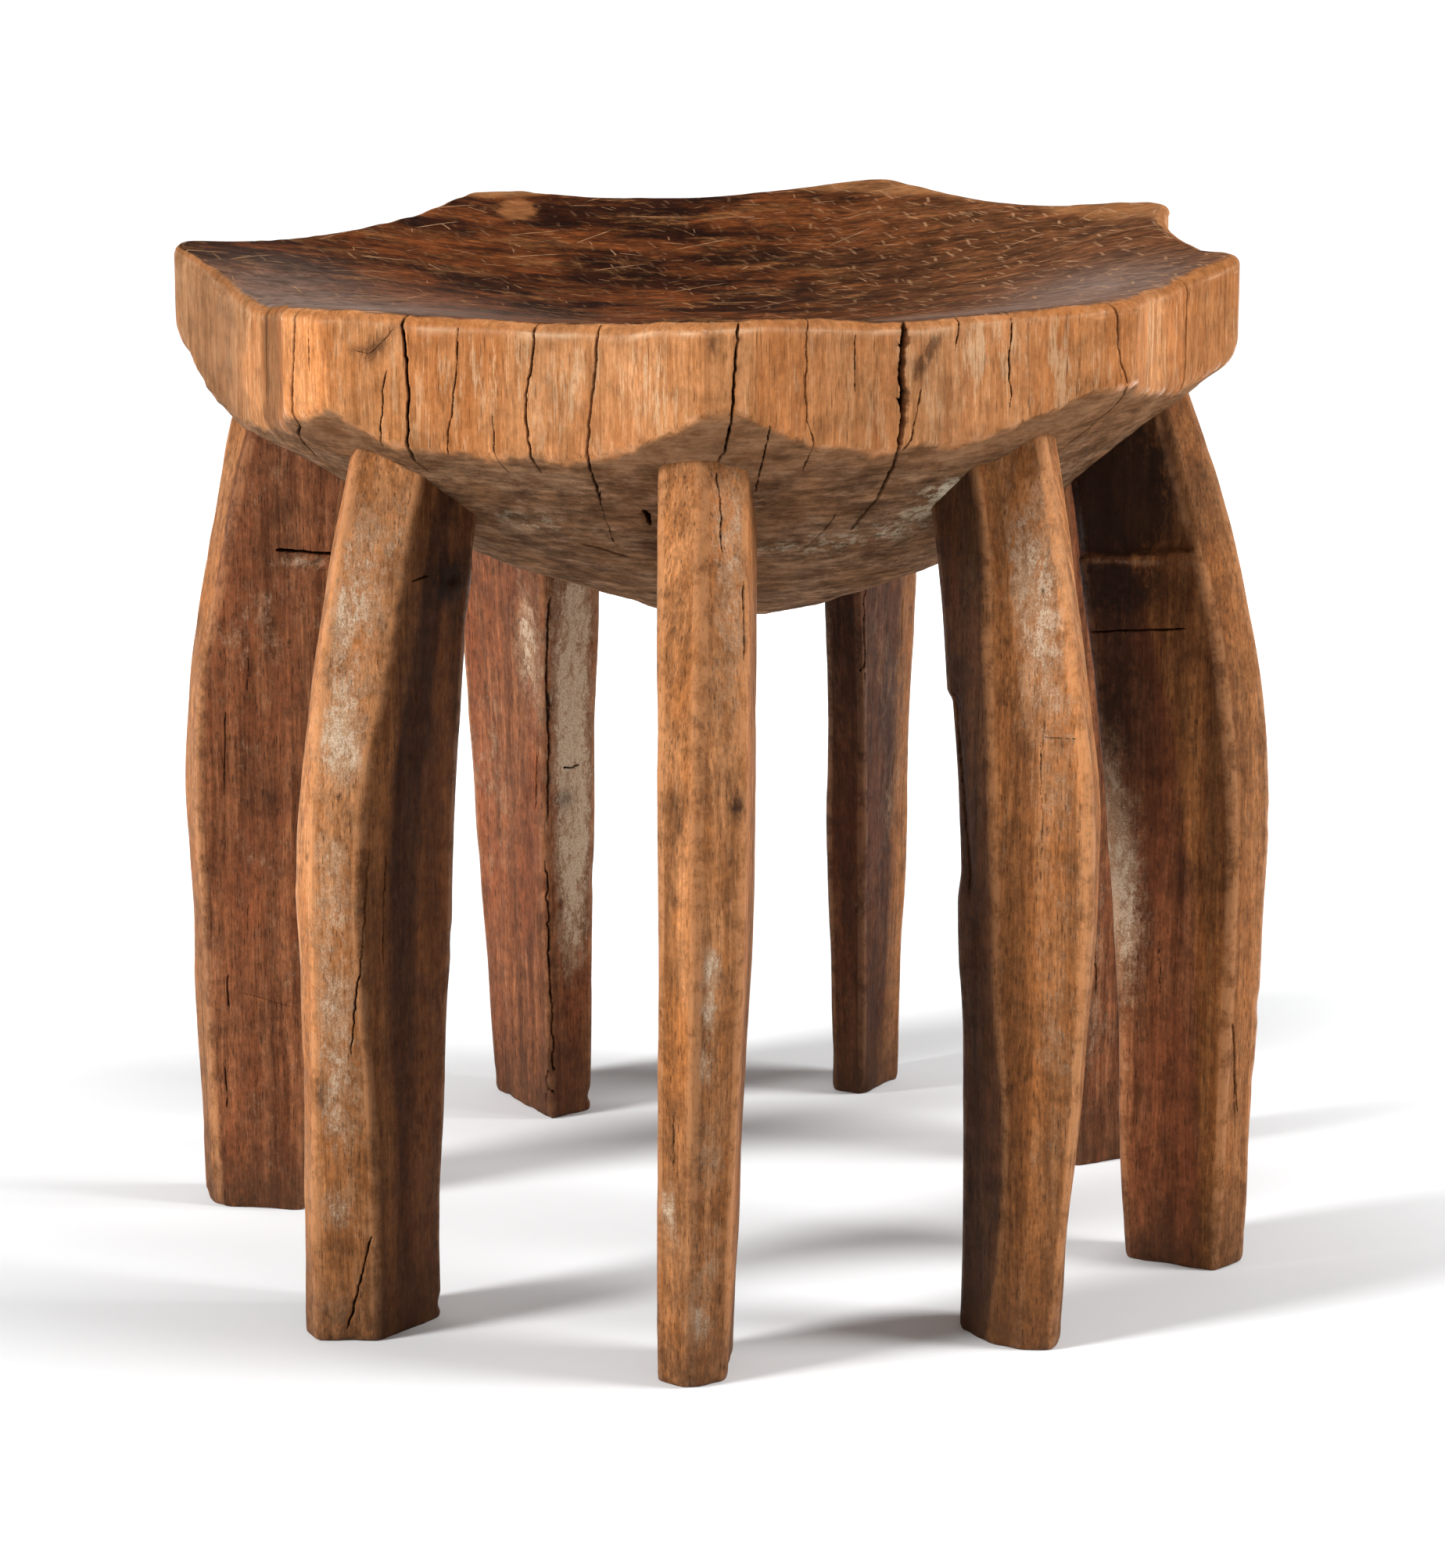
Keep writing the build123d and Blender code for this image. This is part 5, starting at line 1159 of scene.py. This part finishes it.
    # polished, worn rim edge, with painted shade on the bevel strip and a painted highlight line along the lip
    side = g.m("MULTIPLY", g.m("SUBTRACT", 1.0, top), g.m("SUBTRACT", 1.0, under))
    col = g.mix(g.m("MULTIPLY", g.m("MULTIPLY", shade, side), 0.60), col, g.tone((0.340, 0.128, 0.040), g.ramp(stripe, 0.34, 0.66, 0.82, 1.15)))
    worn = g.m("MULTIPLY", g.ramp(edge, 0.16, 0.6), g.m("SUBTRACT", 1.0, under))
    col = g.mix(g.m("MULTIPLY", worn, 0.62), col, g.tone((0.50, 0.215, 0.078), g.ramp(cloud, 0.35, 0.6, 0.7, 1.1)))
    # painted highlight line along the lip
    col = g.mix(g.m("MULTIPLY", g.m("MULTIPLY", lip, side), 0.52), col, (0.760, 0.500, 0.310))
    dark = g.m("MULTIPLY", stain_and_shade, g.ramp(g.noise(g.vec(p, (1, 1, 0.4)), 320, 5, 0.7), 0.34, 0.56, 0.25, 1.0), clamp=True)
    col = g.mix(g.m("MULTIPLY", dark, 0.78), col, (0.070, 0.030, 0.015))
    col = g.tone(col, g.ramp(cloud, 0.30, 0.62, 0.78, 1.09))
    col = g.mix(crack, col, (0.013, 0.005, 0.003))
    rough_rim = g.ramp(rub, 0.35, 0.7, 0.46, 0.62)
    rough_top = g.ramp(fleck, 0.30, 0.72, 0.42, 0.58)
    rough = g.mixf(top, g.mixf(under, rough_rim, 0.72), rough_top)
    rough = g.m("SUBTRACT", rough, g.m("MULTIPLY", worn, 0.16))
    body = g.m("SUBTRACT", 1.0, top)
    up = g.m("MULTIPLY", body, g.m("SUBTRACT", 1.0, under))
    coat = g.m("ADD", g.m("MULTIPLY", g.m("MULTIPLY", worn, g.ramp(cloud, 0.36, 0.54)), 0.9), g.m("MULTIPLY", g.m("MULTIPLY", greying_and_sheen, top), g.ramp(fleck, 0.38, 0.60, 0.05, 0.60)), clamp=True)
    return g.finish(col, rough, [
        (g.m("MULTIPLY", g.m("ADD", fibre, g.m("MULTIPLY", pore, -0.6)), up), 0.0003), (g.m("MULTIPLY", g.m("ADD", tool, mott), under), 0.0016),
        (g.m("MULTIPLY", g.m("SUBTRACT", 1.0, nick_all), top), 0.0006), (g.m("MULTIPLY", fleck, top), 0.00060), (grit, 0.00015)], ior=1.05, coat=coat)


def node_x(self, p):
    n = self.node("ShaderNodeSeparateXYZ")
    self.put(n.inputs[0], p)
    return n.outputs[0]


def near(self, p, centre, size):
    """Distance from a point, as a share of size."""
    n = self.node("ShaderNodeVectorMath", operation="DISTANCE")
    self.put(n.inputs[0], p)
    self.put(n.inputs[1], centre)
    return self.m("DIVIDE", n.outputs["Value"], size)


def mixf(self, f, a, b):
    n = self.node("ShaderNodeMix", data_type="FLOAT")
    self.put(n.inputs[0], f)
    self.put(n.inputs[2], a)
    self.put(n.inputs[3], b)
    return n.outputs[0]


def dashes(self, p, scale, turn, spread, length, thick, shift, cover):
    """Short tool nicks: one in some cells of a scattered pattern, each turned a little differently."""
    flat = self.vec(p, (1, 1, 0), shift)
    n = self.node("ShaderNodeTexVoronoi", feature="F1")
    self.put(n.inputs["Vector"], flat)
    n.inputs["Scale"].default_value = scale
    n.inputs["Randomness"].default_value = 0.9
    off = self.node("ShaderNodeVectorMath", operation="SUBTRACT")
    self.put(off.inputs[0], flat)
    self.put(off.inputs[1], n.outputs["Position"])
    sep = self.node("ShaderNodeSeparateColor")
    self.put(sep.inputs[0], n.outputs["Color"])
    ang = self.m("MULTIPLY_ADD", self.m("SUBTRACT", sep.outputs[0], 0.5), spread, turn)
    rot = self.node("ShaderNodeVectorRotate", rotation_type="Z_AXIS")
    self.put(rot.inputs["Vector"], off.outputs[0])
    self.put(rot.inputs["Angle"], ang)
    xyz = self.node("ShaderNodeSeparateXYZ")
    self.put(xyz.inputs[0], rot.outputs[0])
    u = self.m("MULTIPLY", xyz.outputs[0], scale)
    v = self.m("MULTIPLY", xyz.outputs[1], scale)
    bow = self.m("MULTIPLY_ADD", self.m("MULTIPLY", u, u), 0.10, v)
    a = self.ramp(self.m("ABSOLUTE", bow), thick, thick * 0.35)
    b = self.ramp(self.m("ABSOLUTE", u), length, length * 0.55)
    return self.m("MULTIPLY", self.m("MULTIPLY", a, b), self.ramp(sep.outputs[1], 1 - cover - 0.02, 1 - cover + 0.25))


Graph.node_x, Graph.near, Graph.mixf, Graph.dashes = node_x, near, mixf, dashes


# ---------------------------------------------------------------- the object
wood_seat, wood_leg = seat_wood(), leg_wood()
make_seat(wood_seat)
for number, leg_name in enumerate(LEGS):
    make_leg(leg_name, wood_leg, 300 + 17 * number)


# ---------------------------------------------------------------- floor, light and camera
scene = bpy.context.scene
me = bpy.data.meshes.new("floor")
me.from_pydata([(-40, -12, 0), (40, -12, 0), (40, 60, 0), (-40, 60, 0)], [], [(0, 1, 2, 3)])
floor = bpy.data.objects.new("floor", me)
scene.collection.objects.link(floor)
fm = bpy.data.materials.new("floor_paper")
fm.use_nodes = True
fb = fm.node_tree.nodes["Principled BSDF"]
fb.inputs["Base Color"].default_value = (0.792, 0.802, 0.810, 1)
fb.inputs["Roughness"].default_value = 0.9
fb.inputs["Specular IOR Level"].default_value = 0.1
me.materials.append(fm)


def aimed(obj, azimuth, elevation, distance=3.0):
    """Puts a light at an azimuth and elevation as seen from the object, facing it."""
    a, e = math.radians(azimuth), math.radians(elevation)
    d = np.array([math.cos(a) * math.cos(e), math.sin(a) * math.cos(e), math.sin(e)])
    obj.location = (d * distance + np.array([0, 0, 0.25])).tolist()
    from mathutils import Vector
    obj.rotation_euler = Vector((-d).tolist()).to_track_quat("-Z", "Y").to_euler()


for light_name, energy, spread, azimuth, elevation, tint in (
    ("key_left", 3.5, 13, -152, 31, (1.0, 1.0, 1.0)), ("key_right", 2.9, 21, -10, 33, (1.0, 1.0, 1.0))):
    sun = bpy.data.lights.new(light_name, "SUN")
    sun.energy = energy
    sun.angle = math.radians(spread)
    sun.color = tint
    key = bpy.data.objects.new(light_name, sun)
    scene.collection.objects.link(key)
    aimed(key, azimuth, elevation)
# background lamps: they whiten the floor round the object and don't reach it
for x, y, reach, power in ((1.08, 0.35, 0.90, 560), (-1.08, 0.30, 0.90, 420), (0.0, 1.45, 1.0, 200)):
    spot = bpy.data.lights.new("background", "SPOT")
    spot.energy = power
    spot.spot_size = 2 * math.atan(reach / 2.6)
    spot.spot_blend = 1.0
    spot.shadow_soft_size = 0.25
    lamp = bpy.data.objects.new("background", spot)
    lamp.location = (x, y, 2.6)
    scene.collection.objects.link(lamp)
world = bpy.data.worlds.new("studio")
world.use_nodes = True
world.node_tree.nodes["Background"].inputs[0].default_value = (1, 1, 1, 1)
world.node_tree.nodes["Background"].inputs[1].default_value = 0.35
scene.world = world
scene.view_settings.view_transform = "Standard"

cam = bpy.data.cameras.new("camera")
cam.sensor_fit = "VERTICAL"
cam.sensor_height = 36.0
cam.lens = 6830.0 * 36.0 / 2005.0
cam.clip_start = 0.05
cam.clip_end = 200.0
camera = bpy.data.objects.new("camera", cam)
camera.location = (0.002337, -2.354720, 0.762)
camera.rotation_euler = (math.radians(90 - 13.29), 0, 0)
scene.collection.objects.link(camera)
scene.camera = camera
